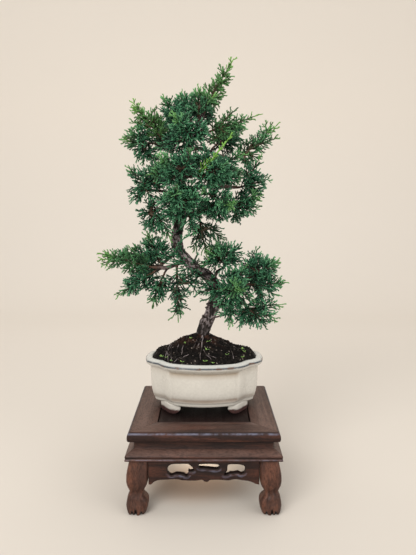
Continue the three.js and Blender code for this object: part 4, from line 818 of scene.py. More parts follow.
RIM = rim_outline()
RIM_NORMAL = np.roll(RIM, -1, axis=0) - np.roll(RIM, 1, axis=0)
RIM_NORMAL = np.stack([RIM_NORMAL[:, 1], -RIM_NORMAL[:, 0]], -1)
RIM_NORMAL /= np.linalg.norm(RIM_NORMAL, axis=1)[:, None]
for _ in range(2):
    RIM_NORMAL = 0.25 * (np.roll(RIM_NORMAL, 1, 0) + np.roll(RIM_NORMAL, -1, 0)) + 0.5 * RIM_NORMAL
    RIM_NORMAL /= np.linalg.norm(RIM_NORMAL, axis=1)[:, None]
ON_PANEL = np.clip((RIM_FRONT_KINK[0] + 4.6 - np.abs(RIM[:, 0])) / 2.0, 0, 1)
ON_PANEL = ON_PANEL ** 2 * (3 - 2 * ON_PANEL) * (np.abs(RIM[:, 1]) > RIM_FRONT_KINK[1] - 3)


def pot_rings(rows):
    """Rings of the pot: the rim's outline drawn in along its normals by an inset, and on the long
    sides' panels by a share of the recess too."""
    inset, height, recess = np.array(rows, float).T
    reach = -inset[:, None] - PANEL_RECESS * recess[:, None] * ON_PANEL[None, :]
    flat = POT_CENTRE + RIM[None] + reach[..., None] * RIM_NORMAL[None]
    level = np.broadcast_to(height[:, None], reach.shape)
    return np.concatenate([flat, level[..., None]], -1)


rings = pot_rings(POT_WALL)
rows, columns = rings.shape[:2]
points = rings.reshape(-1, 3).copy()
inset, level, _ = POT_WALL.T
uneven = (inset < 8.1).repeat(columns) * GLAZE_UNEVEN * soft_noise(points, 11.0, 21)
points[:, :2] += uneven[:, None] * np.tile(RIM_NORMAL, (rows, 1))
# Where the glaze is slate or pale, and where it is ochre and pooled with painted shade, by height
# on the wall
marks = {
    "lip_line": np.clip(1.6 * np.exp(-((level - 143.7) / 0.8) ** 2), 0, 1) * (inset < 4),
    "lip": np.clip((level - 143.6) / 0.8, 0, 1) * (inset < 9),
    "ochre_and_shade": np.exp(-((level - 135.2) / 2.9) ** 2) * (inset < 6.5),
    "pooled_and_shade": np.exp(-((level - 105.2) / 2.2) ** 2) * (inset < 13),
}
# The ochre and the pooled glaze, with their painted shade, are weaker beside the long sides' panels
panel_share = {"ochre_and_shade": 0.25 + 0.75 * ON_PANEL, "pooled_and_shade": 0.55 + 0.45 * ON_PANEL}
marks = {key: (value[:, None] * panel_share.get(key, np.ones(columns))).ravel()
         for key, value in marks.items()}
pot = add_mesh("pot_shell", points, closed_tube(rows, columns), marks)


def times(tree, first, second):
    """Product of two numbers or sockets."""
    return node(tree, "ShaderNodeMath", {0: first, 1: second}, operation="MULTIPLY").outputs[0]


def cells(tree, place, scale, **more):
    """Pattern of cells: the distance from a cell's middle, and three random numbers a cell."""
    made = node(tree, "ShaderNodeTexVoronoi", {"Vector": place, "Scale": scale, **more}).outputs
    parts = node(tree, "ShaderNodeSeparateColor", {"Color": made["Color"]})
    return made["Distance"], parts.outputs


glaze, tree, shader = new_material("ivory_glaze", Coat_Roughness=0.12, Specular_IOR_Level=0.35)
place = object_place(tree)
cloud = noise(tree, place, 42.0, 4.0)
fine = noise(tree, place, 420.0, 3.0)
breaks = noise(tree, place, 120.0, 4.0)
line = mark(tree, "lip_line")
bare = mark(tree, "bare")
# Ochre under the lip and brown low on the wall: glaze colour and painted shade
thin_and_shaded = times(tree, mark(tree, "ochre_and_shade"), spread(tree, cloud, 0.2, 0.6, 0.40, 0.66))
pool_and_shade = times(tree, mark(tree, "pooled_and_shade"), spread(tree, cloud, 0.2, 0.6, 0.7, 1.0))
dark = times(tree, line, spread(tree, breaks, 0.30, 0.44, 0.65, 1.0))
chips = times(tree, line, spread(tree, breaks, 0.52, 0.56))
distance, drawn = cells(tree, place, 62.0)
speck = times(tree, spread(tree, drawn["Red"], 0.90, 0.93),
              spread(tree, distance, 0.0, 0.11, 1.0, 0.0))
colour = layered(
    tree, GLAZE_IVORY, (spread(tree, fine, 0.35, 0.65), shaded(GLAZE_IVORY, 0.94)),
    (spread(tree, cloud, 0.45, 0.75, 0, 0.35), GLAZE_CLOUD), (mark(tree, "lip"), GLAZE_LIP),
    (thin_and_shaded, GLAZE_OCHRE_AND_SHADE), (pool_and_shade, GLAZE_POOLED_AND_SHADE), (dark, GLAZE_SLATE), (chips, GLAZE_CHIP),
    (speck, GLAZE_CHIP))
clay = blended(tree, spread(tree, fine, 0.3, 0.7), POT_CLAY, shaded(POT_CLAY, 0.5))
rough = node(tree, "ShaderNodeMath", {
    0: spread(tree, cloud, 0.3, 0.7, 0.22, 0.34), 1: times(tree, bare, 0.5)}, operation="ADD")
feed(tree, shader, Base_Color=blended(tree, bare, colour, clay), Roughness=rough.outputs[0],
     Coat_Weight=spread(tree, bare, 0, 1, 0.35, 0.0))
roughen(tree, shader, cloud, 0.25, 0.6)
pot.data.materials.append(glaze)
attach(pot, "root")
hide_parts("pot")


# Pot feet: four low bracket feet moulded on at the corners. The glaze was wiped off them before
# the firing, so they show the dark red-brown clay below a wavy edge of glaze.
FOOT_OUTLINE = [(26, -30.6), (31, -31.4), (36.5, -29.6), (41, -24.6), (44.6, -19), (48.6, -13.6),
                (45.5, -11.5), (40, -13.5), (35, -19.5), (30, -23.5), (27, -26)]
FOOT_CENTRE = np.array([38, -22])
# Each ring of a foot: its size beside the outline, and its height
FOOT_RINGS = np.array([
    (0.84, 87.8), (0.93, 88.05), (0.985, 88.8), (1, 89.6), (1, 91), (1, 92), (1, 93), (1, 94.4),
    (1, 95.8), (0.99, 97.2), (0.97, 98.6)])
# The inner end of a foot is cut away below, by this much
FOOT_CUT = 4.5
GLAZE_EDGE = 93

outline = through(FOOT_OUTLINE, 4, True)
share, level = FOOT_RINGS.T[..., None]
rows, columns = len(FOOT_RINGS), len(outline)
shrunk = FOOT_CENTRE + (outline - FOOT_CENTRE) * share[..., None]
raised = FOOT_CUT * np.clip((32.5 - outline[:, 0]) / 6.5, 0, 1) ** 2
level = level + raised * np.linspace(1, 0, rows)[:, None]
for name, (sx, sy) in CORNERS.items():
    points = np.dstack([POT_CENTRE + shrunk * (sx, sy), level]).reshape(-1, 3)
    faces = closed_tube(rows, columns)
    bare = GLAZE_EDGE + 0.5 * soft_noise(points, 5.0, 22) - points[:, 2]
    foot = add_mesh(f"pot_foot_{name}", points, turned_over(faces) if sx * sy < 0 else faces,
                    {"bare": np.clip(0.5 + bare / 0.5, 0, 1)})
    foot.data.materials.append(glaze)
    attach(foot, "root")


# Drain screens: squares of black plastic mesh that keep the soil from the two drain holes. They
# lie hidden under the soil.
SCREEN_BLACK = (0.006, 0.007, 0.008)
SCREEN_DUST = (0.04, 0.034, 0.028)

screen, tree, shader = new_material("screen_plastic", Roughness=0.55)
dust = noise(tree, object_place(tree), 300.0, 2.0)
feed(tree, shader, Base_Color=blended(tree, dust, SCREEN_BLACK, SCREEN_DUST))
for name in ("drain_screen_left", "drain_screen_right"):
    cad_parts[name].data.materials.clear()
    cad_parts[name].data.materials.append(screen)


# Soil: dark bonsai soil, humus with crumbled lava and a little pale grit, watered and settled
# into a mound. It fills the pot to just under the lip.
SOIL_EDGE = 144.2
SOIL_RISE = 29
SOIL_BROW = 4.5
# The mound is this much fuller on the left
SOIL_LEFT = 2.6
SOIL_INSET = 8.6
SOIL_MIDDLE = np.array([-1, 8])
SOIL_ROWS = 92
SOIL_DARK = (0.0022, 0.0019, 0.0018)
SOIL_BROWN = (0.0098, 0.0070, 0.0056)
SOIL_RUST = (0.055, 0.022, 0.012)
SOIL_PALE = (0.16, 0.135, 0.115)
# Heights between which the rusty crumbs set in
RUST_FROM = (155, 172)

soil_rim = pot_rings([(SOIL_INSET - 0.25, SOIL_EDGE, 0)])[0]
rim_angle = np.arctan2(soil_rim[:, 1] - SOIL_MIDDLE[1], soil_rim[:, 0] - SOIL_MIDDLE[0])
rim_reach = np.linalg.norm(soil_rim[:, :2] - SOIL_MIDDLE, axis=1)
rim_order = np.argsort(rim_angle)


def soil_height(x, y):
    """Height of the mound: from the rim it climbs a brow, then a nearly even slope to the trunk,
    with lumps that are sines of the angle and of the reach, the share of the way to the rim."""
    dx, dy = x - SOIL_MIDDLE[0], y - SOIL_MIDDLE[1]
    angle = np.arctan2(dy, dx)
    edge = np.interp(angle, rim_angle[rim_order], rim_reach[rim_order], period=2 * np.pi)
    reach = np.clip(np.hypot(dx, dy) / edge, 0, 1)
    lumps = 1.1 * np.sin(3 * angle + 5 * reach) + 0.8 * np.sin(7 * angle - 9 * reach)
    left = SOIL_LEFT * np.clip(-np.cos(angle), 0, None) * np.sin(np.pi * reach)
    brow = SOIL_BROW * np.sin(np.pi * reach ** 9)
    slope = SOIL_RISE * (1 - reach) ** 0.95
    return SOIL_EDGE + slope + brow + left - lumps * np.sin(np.pi * reach)


def crumbs(points):
    """Relief of the soil's surface: noise at four sizes, from lumps to grains."""
    return (0.75 * soft_noise(points, 5.5, 31) + 0.55 * soft_noise(points, 2.6, 32)
            + 0.42 * soft_noise(points, 1.3, 33) + 0.2 * soft_noise(points, 0.7, 34))


reach = np.linspace(0.02, 1, SOIL_ROWS)[::-1, None, None]
flat = SOIL_MIDDLE + (soil_rim[None, :, :2] - SOIL_MIDDLE) * reach
columns = flat.shape[1]
top = np.dstack([flat, soil_height(*np.moveaxis(flat, -1, 0))]).reshape(-1, 3)
calm = np.clip((1 - reach) * 14, 0.12, 1).repeat(columns, axis=1).ravel()
top[:, 2] += crumbs(top) * calm
below = pot_rings([(22, 100.4, 0), (15, 104.2, 0), (11.4, 112.4, 0), (SOIL_INSET, 140, 0)])
points = np.concatenate([below.reshape(-1, 3), top])
soil = add_mesh("soil_mound", points, closed_tube(len(points) // columns, columns))


def parts_of(tree, vector):
    """The X, Y and Z of a vector."""
    return node(tree, "ShaderNodeSeparateXYZ", {"Vector": vector}).outputs


earth, tree, shader = new_material("damp_soil", Specular_IOR_Level=0.14)
place = object_place(tree)
lumps = noise(tree, place, 210.0, 6.0, Roughness=0.7)
crumbly = noise(tree, place, 90.0, 4.0)
_, grit = cells(tree, place, 700.0)
high = spread(tree, parts_of(tree, place)["Z"], *np.array(RUST_FROM) * MM)
rust = times(tree, times(tree, high, spread(tree, crumbly, 0.42, 0.6)), 0.8)
colour = layered(tree, SOIL_DARK, (spread(tree, lumps, 0.42, 0.68), SOIL_BROWN), (rust, SOIL_RUST),
                 (spread(tree, grit["Red"], 0.965, 0.985), SOIL_PALE))
feed(tree, shader, Base_Color=colour, Roughness=spread(tree, lumps, 0.35, 0.7, 0.95, 0.6))
roughen(tree, shader, lumps, 0.9, 0.9)
soil.data.materials.append(earth)
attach(soil, "root")
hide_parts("soil")


# Soil grains: loose crumbs of lava, bark and a few pale bits of pumice that lie on the mound,
# sunk a third of their size into it.
GRAINS = 1500
GRAIN_DARK = (0.0055, 0.0042, 0.0036)
GRAIN_PALE = (0.15, 0.115, 0.09)
OCTAHEDRON = np.array([(1, 0, 0), (0, 1, 0), (-1, 0, 0), (0, -1, 0), (0, 0, 1), (0, 0, -1)], float)
OCTA_FACES = np.array([(0, 1, 4), (1, 2, 4), (2, 3, 4), (3, 0, 4),
                       (1, 0, 5), (2, 1, 5), (3, 2, 5), (0, 3, 5)])


def scattered_on_soil(rng, count):
    """Random places on the mound, even over its area and short of its rim."""
    share = np.sqrt(rng.uniform(0.015, 0.97 ** 2, count))
    pick = rng.uniform(0, len(soil_rim), count)
    index = pick.astype(int)
    rim = soil_rim[index, :2] + (pick - index)[:, None] * (
        soil_rim[(index + 1) % len(soil_rim), :2] - soil_rim[index, :2])
    place = SOIL_MIDDLE + (rim - SOIL_MIDDLE) * share[:, None]
    return np.column_stack([place, soil_height(place[:, 0], place[:, 1])])


rng = np.random.default_rng(512)
centres = scattered_on_soil(rng, GRAINS)
size = 0.45 + 0.75 * rng.random(GRAINS) ** 2.2
shape = OCTAHEDRON[None] * rng.uniform(0.6, 1.25, (GRAINS, 6, 1))
shape += rng.uniform(-0.22, 0.22, shape.shape)
spin = rng.uniform(0, 2 * np.pi, GRAINS)[:, None]
shape = spun(shape, spin) * (1, 1, 0.75) * size[:, None, None]
centres[:, 2] += 0.25 * size + crumbs(centres)
points = (centres[:, None] + shape).reshape(-1, 3)
faces = (OCTA_FACES[None] + 6 * np.arange(GRAINS)[:, None, None]).reshape(-1, 3)
tint = (rng.random(GRAINS) ** 4).repeat(6)
grains = add_mesh("soil_grains", points, [faces], {"tint": tint}, smooth=False)

grit_stone, tree, shader = new_material("soil_grit", Roughness=0.9, Specular_IOR_Level=0.15)
pits = noise(tree, object_place(tree), 900.0, 3.0)
feed(tree, shader, Base_Color=layered(
    tree, GRAIN_DARK, (spread(tree, mark(tree, "tint"), 0.55, 0.98), GRAIN_PALE),
    (spread(tree, pits, 0.3, 0.7), SOIL_DARK)))
roughen(tree, shader, pits, 0.6, 0.3)
grains.data.materials.append(grit_stone)
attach(grains, "root")


# Seedlings: weeds that have come up in the damp soil, each a few small round leaves close to the
# ground on a stem too short to see.
SEEDLING_LIFT = 1.6
# Each seedling: its place in plan and how many leaves it has
SEEDLINGS = [
    (-46.4, -12, 5), (-35.7, -23.9, 3), (-23.6, -28.9, 3), (-21.4, -4.1, 3), (-14.8, -1.6, 4),
    (1, -31.5, 5), (9.5, -31.5, 4), (3.1, -17, 3), (43.4, -0.4, 4), (41.3, -16.2, 3), (44.5, -7, 2),
    (5, -6, 2), (-41, -17, 2), (25, -20, 2)]
LEAF_ROUND = 8
# Each ring of a leaf: its size and its height
LEAF_RINGS = np.array([
    (0.02, -0.12), (0.6, -0.1), (0.95, -0.03), (1, 0.03), (0.7, 0.14), (0.02, 0.2)])
SEEDLING_DARK = (0.075, 0.17, 0.045)
SEEDLING_LIGHT = (0.26, 0.42, 0.10)

rng = np.random.default_rng(77)
angle = np.linspace(0, 2 * np.pi, LEAF_ROUND, endpoint=False)
ring, rise = LEAF_RINGS.T
oval = np.stack([1 + ring[:, None] * np.cos(angle), 0.62 * ring[:, None] * np.sin(angle),
                 np.broadcast_to(rise[:, None], (len(ring), LEAF_ROUND))], -1).reshape(-1, 3)
points, tint = [], []
for x, y, leaves in SEEDLINGS:
    ground = np.array([x, y, soil_height(x, y) + SEEDLING_LIFT])
    for leaf in range(leaves):
        turn = 2 * np.pi * leaf / leaves + rng.uniform(-0.5, 0.5)
        tilt = rng.uniform(0.1, 0.9)
        long = rng.uniform(1.0, 1.7)
        upright = spun(oval[:, [0, 2, 1]], tilt)[:, [0, 2, 1]] * long
        points.append(spun(upright, turn) + ground)
        tint.append(np.full(len(oval), rng.uniform(0, 1)))
leaf_faces = closed_tube(len(ring), LEAF_ROUND)
faces = [part + len(oval) * k for k in range(len(points)) for part in leaf_faces]
seedlings = add_mesh("seedlings", np.concatenate(points), faces, {"tint": np.concatenate(tint)})

sprout, tree, shader = new_material("seedling_leaf", Roughness=0.55)
feed(tree, shader, Base_Color=blended(tree, mark(tree, "tint"), SEEDLING_DARK, SEEDLING_LIGHT))
seedlings.data.materials.append(sprout)
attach(seedlings, "root")


# Wood of the tree: one juniper trunk with its limbs, twigs and surface roots. Grey-brown bark
# runs in long fibres, darker and damp at the foot; the young twigs are red-brown.
TRUNK_LINE = [
    (-1, 8, 158), (-1, 8, 166), (-1, 8, 174), (3, 8, 184), (8, 8, 195), (11, 8, 207), (13, 9, 218),
    (10, 9, 228), (4, 9, 236), (-5, 8, 243), (-15, 8, 250), (-22, 8, 258), (-28, 8, 266),
    (-30, 9, 276), (-29, 9, 290), (-25, 9, 305), (-23, 8, 320), (-24, 8, 335), (-25, 8, 350),
    (-22, 8, 365), (-15, 8, 380), (-9, 8, 395), (-3, 8, 408), (0, 8, 413)]
TRUNK_RADII = [7.4, 7.2, 6.9, 6.5, 6.5, 6.4, 6.3, 6.2, 6, 5.9, 5.7, 5.5, 5.2, 4.9, 4.6, 4.4, 4.1,
               3.8, 3.4, 2.9, 2.3, 1.7]
# This much of the trunk's line lies below the soil
TRUNK_BELOW = 16
# Each kind of wood: stations along it, points round it, its first seed, how deep its bark is,
# how young it is (a bare root is below 0), and the height below which it is damp
WOOD_KINDS = {
    "trunk": (450, 68, 40, 1.35, 0.0, 192),
    "stub": (26, 10, 190, 0.45, 0.15, 192),
    "limb": (44, 18, 51, 0.5, 0.3, 192),
    "twig": (22, 9, 70, 0.3, 0.85, 192),
    "root": (60, 12, 150, 0.3, 0.1, 170),
    "rootlet": (30, 6, 200, 0.05, -1.0, 120),
}
# Broken stubs and a dead twig low on the trunk: height they start at, then places from the
# trunk's middle there, and the radius at each end
STUBS = [
    (203, [(0, 0, 0), (-4, -3, 1.5), (-7.6, -4, 3)], (1.7, 1.2)),
    (197, [(0, 0, 0), (-5, -3, 2), (-7.4, -3.5, 4.5)], (1.3, 0.8)),
    (189, [(0, 0, 0), (-4, -3, 1), (-7.4, -4.5, 3)], (2.2, 1.5)),
    (190, [(0, 0, 0), (7, -3, 0.5), (12, -4, 2), (16, -4, 5.5), (19.5, -4, 5)], (1.2, 0.5)),
    (216, [(0, 0, 0), (-3, -5, -3), (-6.5, -7, -4)], (1.2, 0.7)),
    (251, [(0, 0, 0), (5, -6, 4), (8.5, -8, 10)], (1.1, 0.5))]
# Each limb: the points its middle line runs through, its radius where it starts and ends
LIMBS = {
    "low_left": ([(-20, 8, 255), (-30, 6, 250), (-41, 4, 246), (-52, 4, 246)], (2.9, 1.7)),
    "low_left_back": ([(-28, 9, 267), (-37, 17, 258), (-47, 24, 249)], (2.4, 1.6)),
    "low_right": ([(12, 8, 216), (22, 8, 221), (33, 6, 226), (45, 4, 228)], (3.4, 1.8)),
    "low_right_top": ([(9, 9, 229), (14, 10, 240), (22, 10, 246)], (2.2, 1.4)),
    "low_right_foot": ([(9, 8, 198), (20, 6, 203), (32, 3, 205), (40, 1, 206)], (2, 1.4)),
    "crown_left_low": ([(-27, 9, 298), (-36, 7, 304), (-44, 4, 309)], (2.3, 1.5)),
    "crown_right_low": ([(-26, 9, 301), (-13, 9, 306), (2, 9, 311), (18, 10, 316)], (2.6, 1.6)),
    "crown_left_mid": ([(-23, 8, 322), (-36, 6, 328), (-50, 5, 330)], (2.3, 1.5)),
    "crown_right_mid": ([(-24, 8, 330), (-8, 9, 334), (12, 9, 336), (32, 9, 334)], (2.6, 1.5)),
    "crown_front": ([(-24, 7, 340), (-20, -4, 343), (-14, -14, 345)], (2.2, 1.5)),
    "crown_back": ([(-24, 9, 342), (-22, 21, 346), (-16, 31, 350)], (2.2, 1.5)),
    "crown_left_high": ([(-23, 8, 360), (-34, 6, 370), (-46, 5, 378)], (2.2, 1.5)),
    "crown_right_high": ([(-17, 8, 375), (-3, 8, 375), (14, 9, 369), (29, 11, 365)], (2.4, 1.5)),
}
# Each twig: the limb it leaves, the place along it, and the foot of the spray it carries
TWIGS = {
    "apex": ("trunk", 0.995, (2, 9, 420)),
    "peak": ("trunk", 0.96, (-6, -1, 407)),
    "top_left": ("trunk", 0.93, (-14, 11, 403)),
    "shoulder_left": ("trunk", 0.9, (-21, 5, 396)),
    "corner_left": ("crown_left_high", 0.75, (-45, 7, 385)),
    "side_left_high": ("crown_left_high", 1, (-52, 4, 380)),
    "right_high": ("trunk", 0.91, (6, 7, 393)),
    "bright": ("crown_front", 1, (-5, -26, 346)),
    "far_right": ("crown_right_high", 1, (35, 12, 365)),
    "side_left_mid": ("crown_left_mid", 1, (-56, 4, 331)),
    "left_foot": ("crown_left_low", 1, (-48, 3, 311)),
    "front_top": ("trunk", 0.88, (-13, -6, 381)),
    "front_mid": ("crown_front", 1, (-16, -20, 345)),
    "front_low": ("trunk", 0.59, (-21, -5, 312)),
    "front_right": ("crown_front", 0.85, (-3, -14, 345)),
    "front_right_low": ("crown_right_low", 0.75, (9, -2, 317)),
    "right_mid": ("crown_right_mid", 1, (38, 9, 334)),
    "right_low": ("crown_right_low", 1, (26, 10, 318)),
    "right_hem": ("crown_right_low", 0.45, (-5, 3, 299)),
    "back_top": ("trunk", 0.93, (-7, 22, 403)),
    "back_left_high": ("crown_left_high", 0.5, (-37, 23, 380)),
    "back_right_high": ("crown_right_high", 0.5, (12, 24, 380)),
    "back_mid": ("crown_back", 1, (-14, 36, 353)),
    "back_left_mid": ("crown_back", 0.7, (-33, 31, 348)),
    "back_right_mid": ("crown_back", 0.9, (1, 34, 346)),
    "back_low": ("trunk", 0.6, (-22, 23, 314)),
    "pad_left_tip": ("low_left", 1, (-59, 3, 247)),
    "pad_left_top": ("low_left", 0.8, (-48, 8, 250)),
    "pad_left_end": ("low_left", 0.85, (-55, -1, 242)),
    "pad_left_drop": ("low_left", 0.65, (-44, 0, 240)),
    "pad_left_hang": ("low_left", 0.35, (-30, -1, 242)),
    "pad_left_back": ("low_left_back", 1, (-51, 27, 246)),
    "pad_right_top": ("low_right_top", 1, (25, 10, 250)),
    "pad_right_high": ("low_right", 0.9, (49, 7, 234)),
    "pad_right_end": ("low_right", 1, (51, 4, 227)),
    "pad_right_low": ("low_right_foot", 1, (44, 0, 206)),
    "pad_right_front": ("low_right", 0.45, (25, -4, 223)),
    "pad_right_back": ("low_right", 0.7, (39, 18, 228)),
}
# Surface roots, as places in plan with a radius at each end; then the fine pale rootlets that
# watering has washed bare, the same way
ROOTS = [
    ([(-7, 9), (-19, 8), (-28, 3)], (0.7, 0.4)),
    ([(-35, 6), (-38, -3), (-41, -11), (-43, -15)], (0.6, 0.4)),
    ([(-2, 2), (-5, -6), (-9, -13)], (0.8, 0.4)),
    ([(5, 10), (14, 13), (23, 18)], (1.2, 0.6))]
ROOTLETS = [
    ([(-0.8, 0.7), (-2.4, -7.2), (-2.9, -14.1), (-3.9, -19.1), (-3.8, -29.5)], (0.62, 0.4)),
    ([(-1.2, -17), (3.1, -22.6), (7.4, -28.4)], (0.4, 0.3)),
    ([(-37, 3), (-39, 1.2), (-40.9, -11.1), (-43, -13.5)], (0.42, 0.3)),
    ([(-40.9, -11.1), (-39.3, -18.4), (-38.6, -21.5)], (0.35, 0.28)),
    ([(-36.4, -4), (-35.7, -15.3), (-35.2, -23.2)], (0.42, 0.3)),
    ([(-23.5, -5.6), (-24.3, -12), (-24.5, -19.3)], (0.45, 0.3)),
    ([(-16.3, -23.6), (-21.5, -26.8), (-26.9, -26.8), (-32.3, -26.1)], (0.3, 0.25)),
    ([(33.2, 5), (29.8, -5.3), (31.2, -11.3), (31.7, -23.7)], (0.42, 0.3)),
    ([(33.2, 5), (34.4, -2.3), (31.9, -7.3)], (0.35, 0.3)),
    ([(-8, -3), (-10, -9), (-12, -14)], (0.4, 0.3)),
    ([(18.1, -28.5), (19.5, -29.2), (20.7, -29.5)], (0.5, 0.4)),
    ([(-28, -2), (-30, -9), (-29, -17)], (0.35, 0.28)),
    ([(2, -22), (8, -24), (13, -25)], (0.4, 0.3))]
# How each kind of root lies: first seed, wander, height over the soil, size of its waves, how far
# its end dips and over what length; then how much its start is swollen, and its thickness
ROOT_LIE = {
    "root": (120, 0.6, 0.7, 6.0, 2.2, 5, 0.3, 1.0),
    "rootlet": (160, 0.7, 1.6, 5.0, 1.6, 3, 0.0, 0.8),
}
TWIG_RADII = (1.6, 1.2)
BARK_GREY = (0.128, 0.100, 0.096)
BARK_PALE = (0.275, 0.235, 0.240)
BARK_BROWN = (0.045, 0.027, 0.020)
BARK_DARK = (0.0070, 0.0050, 0.0042)
BARK_YOUNG = (0.115, 0.064, 0.042)
ROOT_BARE = (0.165, 0.138, 0.130)
# Heights between which the trunk's pale grey band sets in, and between which it fades: pale
# bark, and partly painted light, the trunk above it being kept dark as if in shade
PALE_LIT_IN = np.array([190, 202]) * MM
PALE_LIT_OUT = np.array([232, 214]) * MM


def unit(vectors):
    """Vectors scaled to a length of one."""
    return vectors / np.linalg.norm(vectors, axis=-1, keepdims=True)


def even_path(points, count):
    """Smooth curve through points, cut into even steps."""
    fine = through(points, 24, False)
    walked = np.concatenate([[0], np.cumsum(np.linalg.norm(np.diff(fine, axis=0), axis=1))])
    at = np.linspace(0, walked[-1], count)
    return np.stack([np.interp(at, walked, fine[:, k]) for k in range(3)], -1), at


def skin(kind, k, path, walked, radius):
    """Bark round a path. At each station a ring stands square to the path; its points lie at the
    radius, plus relief: fibres (noise drawn out eight times along the path, turning slowly round
    it), flakes (noise cut off flat), lumps and fine noise. A point closes each end. Also gives
    each point's place on the bark, how hollow and how young it is and how near the soil."""
    _, columns, seed, relief, young, damp_below = WOOD_KINDS[kind]
    seed += k
    radius = np.broadcast_to(radius.reshape(len(path), -1), (len(path), columns))
    tangent = unit(np.gradient(path, axis=0))
    level = np.abs(tangent).mean(0)
    across = np.eye(3)[np.argmin(level)]
    side = unit(np.cross(tangent, across))
    over = np.cross(tangent, side)
    angle = np.linspace(0, 2 * np.pi, columns, endpoint=False)[None, :]
    mean = np.mean(radius)
    twist = angle + 0.012 * walked[:, None]
    place = np.stack([mean * np.cos(twist), mean * np.sin(twist),
                      np.broadcast_to(walked[:, None] + 40 * seed, twist.shape)], -1)
    flat = place.reshape(-1, 3)
    fibre = soft_noise(flat * (1, 1, 0.12), 1.5, seed)
    fibre += 0.6 * soft_noise(flat * (1, 1, 0.2), 0.8, seed + 1)
    flake = np.clip(2.2 * soft_noise(flat * (1, 1, 0.35), 3.0, seed + 2), -0.8, 0.8)
    lump = soft_noise(flat * (1, 1, 0.6), 4.6, seed + 4)
    grain = soft_noise(flat, 0.6, seed + 3)
    rough = (0.30 * fibre + 0.42 * flake + 0.75 * lump + 0.16 * grain).reshape(twist.shape)
    reach = radius + relief * rough
    rings = path[:, None] + reach[..., None] * (np.cos(angle)[..., None] * side[:, None]
                                                 + np.sin(angle)[..., None] * over[:, None])
    rows = len(path)
    points = np.concatenate([rings.reshape(-1, 3), path[:1], path[-1:]])
    c = np.arange(columns)
    after = (c + 1) % columns
    last = (rows - 1) * columns
    caps = np.concatenate([
        np.stack([after, c, np.full(columns, rows * columns)], -1),
        np.stack([last + c, last + after, np.full(columns, rows * columns + 1)], -1)])
    bark = np.concatenate([flat, flat[:1], flat[-1:]])
    hollow = np.clip(0.5 - 0.8 * rough, 0, 1).ravel()
    near = np.clip((damp_below - points[:, 2]) / 16, 0, 1)
    state = np.stack([np.concatenate([hollow, [0.5, 0.5]]), np.full(len(points), young), near], -1)
    return points, grid_faces(rows, columns), caps, bark, state


def cad_solid(name):
    """A CAD node's corners, equal ones merged, and its triangles."""
    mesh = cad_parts[name].data
    places = np.empty(len(mesh.vertices) * 3)
    mesh.vertices.foreach_get("co", places)
    mesh.calc_loop_triangles()
    corners = np.empty(len(mesh.loop_triangles) * 3, np.int64)
    mesh.loop_triangles.foreach_get("vertices", corners)
    places = (places.reshape(-1, 3) - STAND_MIDDLE) / MM
    _, first, index = np.unique(np.round(places * 200).astype(np.int64), axis=0,
                                return_index=True, return_inverse=True)
    triangles = index.ravel()[corners].reshape(-1, 3)
    whole = np.all(triangles != np.roll(triangles, 1, axis=1), axis=1)
    return places[first], triangles[whole]


def arched(start, foot, arrive, count):
    """Curve from start to foot that sets off towards the foot and arrives in a given direction:
    the cubic u^3 start + 3 u^2 t b + 3 u t^2 c + t^3 foot, with u = 1 - t, where the handles b
    and c stand about a third of the way in from its ends."""
    span = foot - start
    handle = 0.36 * np.linalg.norm(span)
    b = start + unit(span) * handle
    c = foot - arrive * handle
    t = np.linspace(0, 1, count)[:, None]
    u = 1 - t
    return u ** 3 * start + 3 * u ** 2 * t * b + 3 * u * t ** 2 * c + t ** 3 * foot


def on_trunk(height):
    """The point of the trunk's middle line at a height."""
    return trunk_path[np.argmin(np.abs(trunk_path[:, 2] - height))]


def tapered(radii, walked, swell=0.0, fades=1.0):
    """Radius from one end to the other, swollen at the start by a share that fades along it."""
    return np.linspace(*radii, len(walked)) * (1 + swell * np.exp(-walked / fades))


def lying_root(kind, k, route, radii):
    """A root that wanders over the mound and dips into it at its end."""
    seed, wander, lift, waves, dip, dip_length, swell, thick = ROOT_LIE[kind]
    seed += k
    plan, walked = even_path([(x, y, 0) for x, y in route], WOOD_KINDS[kind][0])
    plan[:, :2] += wander * np.stack([soft_noise(plan, 4.0, seed),
                                      soft_noise(plan, 4.0, seed + 10)], -1)
    plan[:, 2] = soil_height(*plan.T[:2]) + lift + 0.5 * soft_noise(plan, waves, seed + 20)
    plan[:, 2] -= dip * np.clip((walked - walked[-1] + dip_length) / dip_length, 0, 1)
    return skin(kind, k, plan, walked, thick * tapered(radii, walked, swell, 4))


trunk_path, trunk_walk = even_path(TRUNK_LINE, WOOD_KINDS["trunk"][0])
above = np.clip(trunk_walk - TRUNK_BELOW, 0, None)[:, None]
share = above / above[-1]
angle = np.linspace(0, 2 * np.pi, WOOD_KINDS["trunk"][1], endpoint=False)
plain = np.interp(share * (len(TRUNK_RADII) - 1), np.arange(len(TRUNK_RADII)), TRUNK_RADII)
plain *= 1 - 0.22 * np.exp(-(above / 42) ** 2)
flare = 1 + 0.05 * np.exp(-above / 7) * (1 + np.cos(3 * angle + 1))
flutes = 0.1 * np.cos(2 * angle + 9 * share) + 0.08 * np.cos(3 * angle - 17 * share)
trunk_radius = plain * (1 + flutes + 0.05 * np.sin(61 * share)) * flare
limb_paths = {"trunk": trunk_path[trunk_walk >= TRUNK_BELOW]}
skins = [skin("trunk", 0, trunk_path, trunk_walk, trunk_radius)]
for k, (height, places, radii) in enumerate(STUBS):
    path, walked = even_path(on_trunk(height) + places, WOOD_KINDS["stub"][0])
    skins.append(skin("stub", k, path, walked, tapered(radii, walked)))
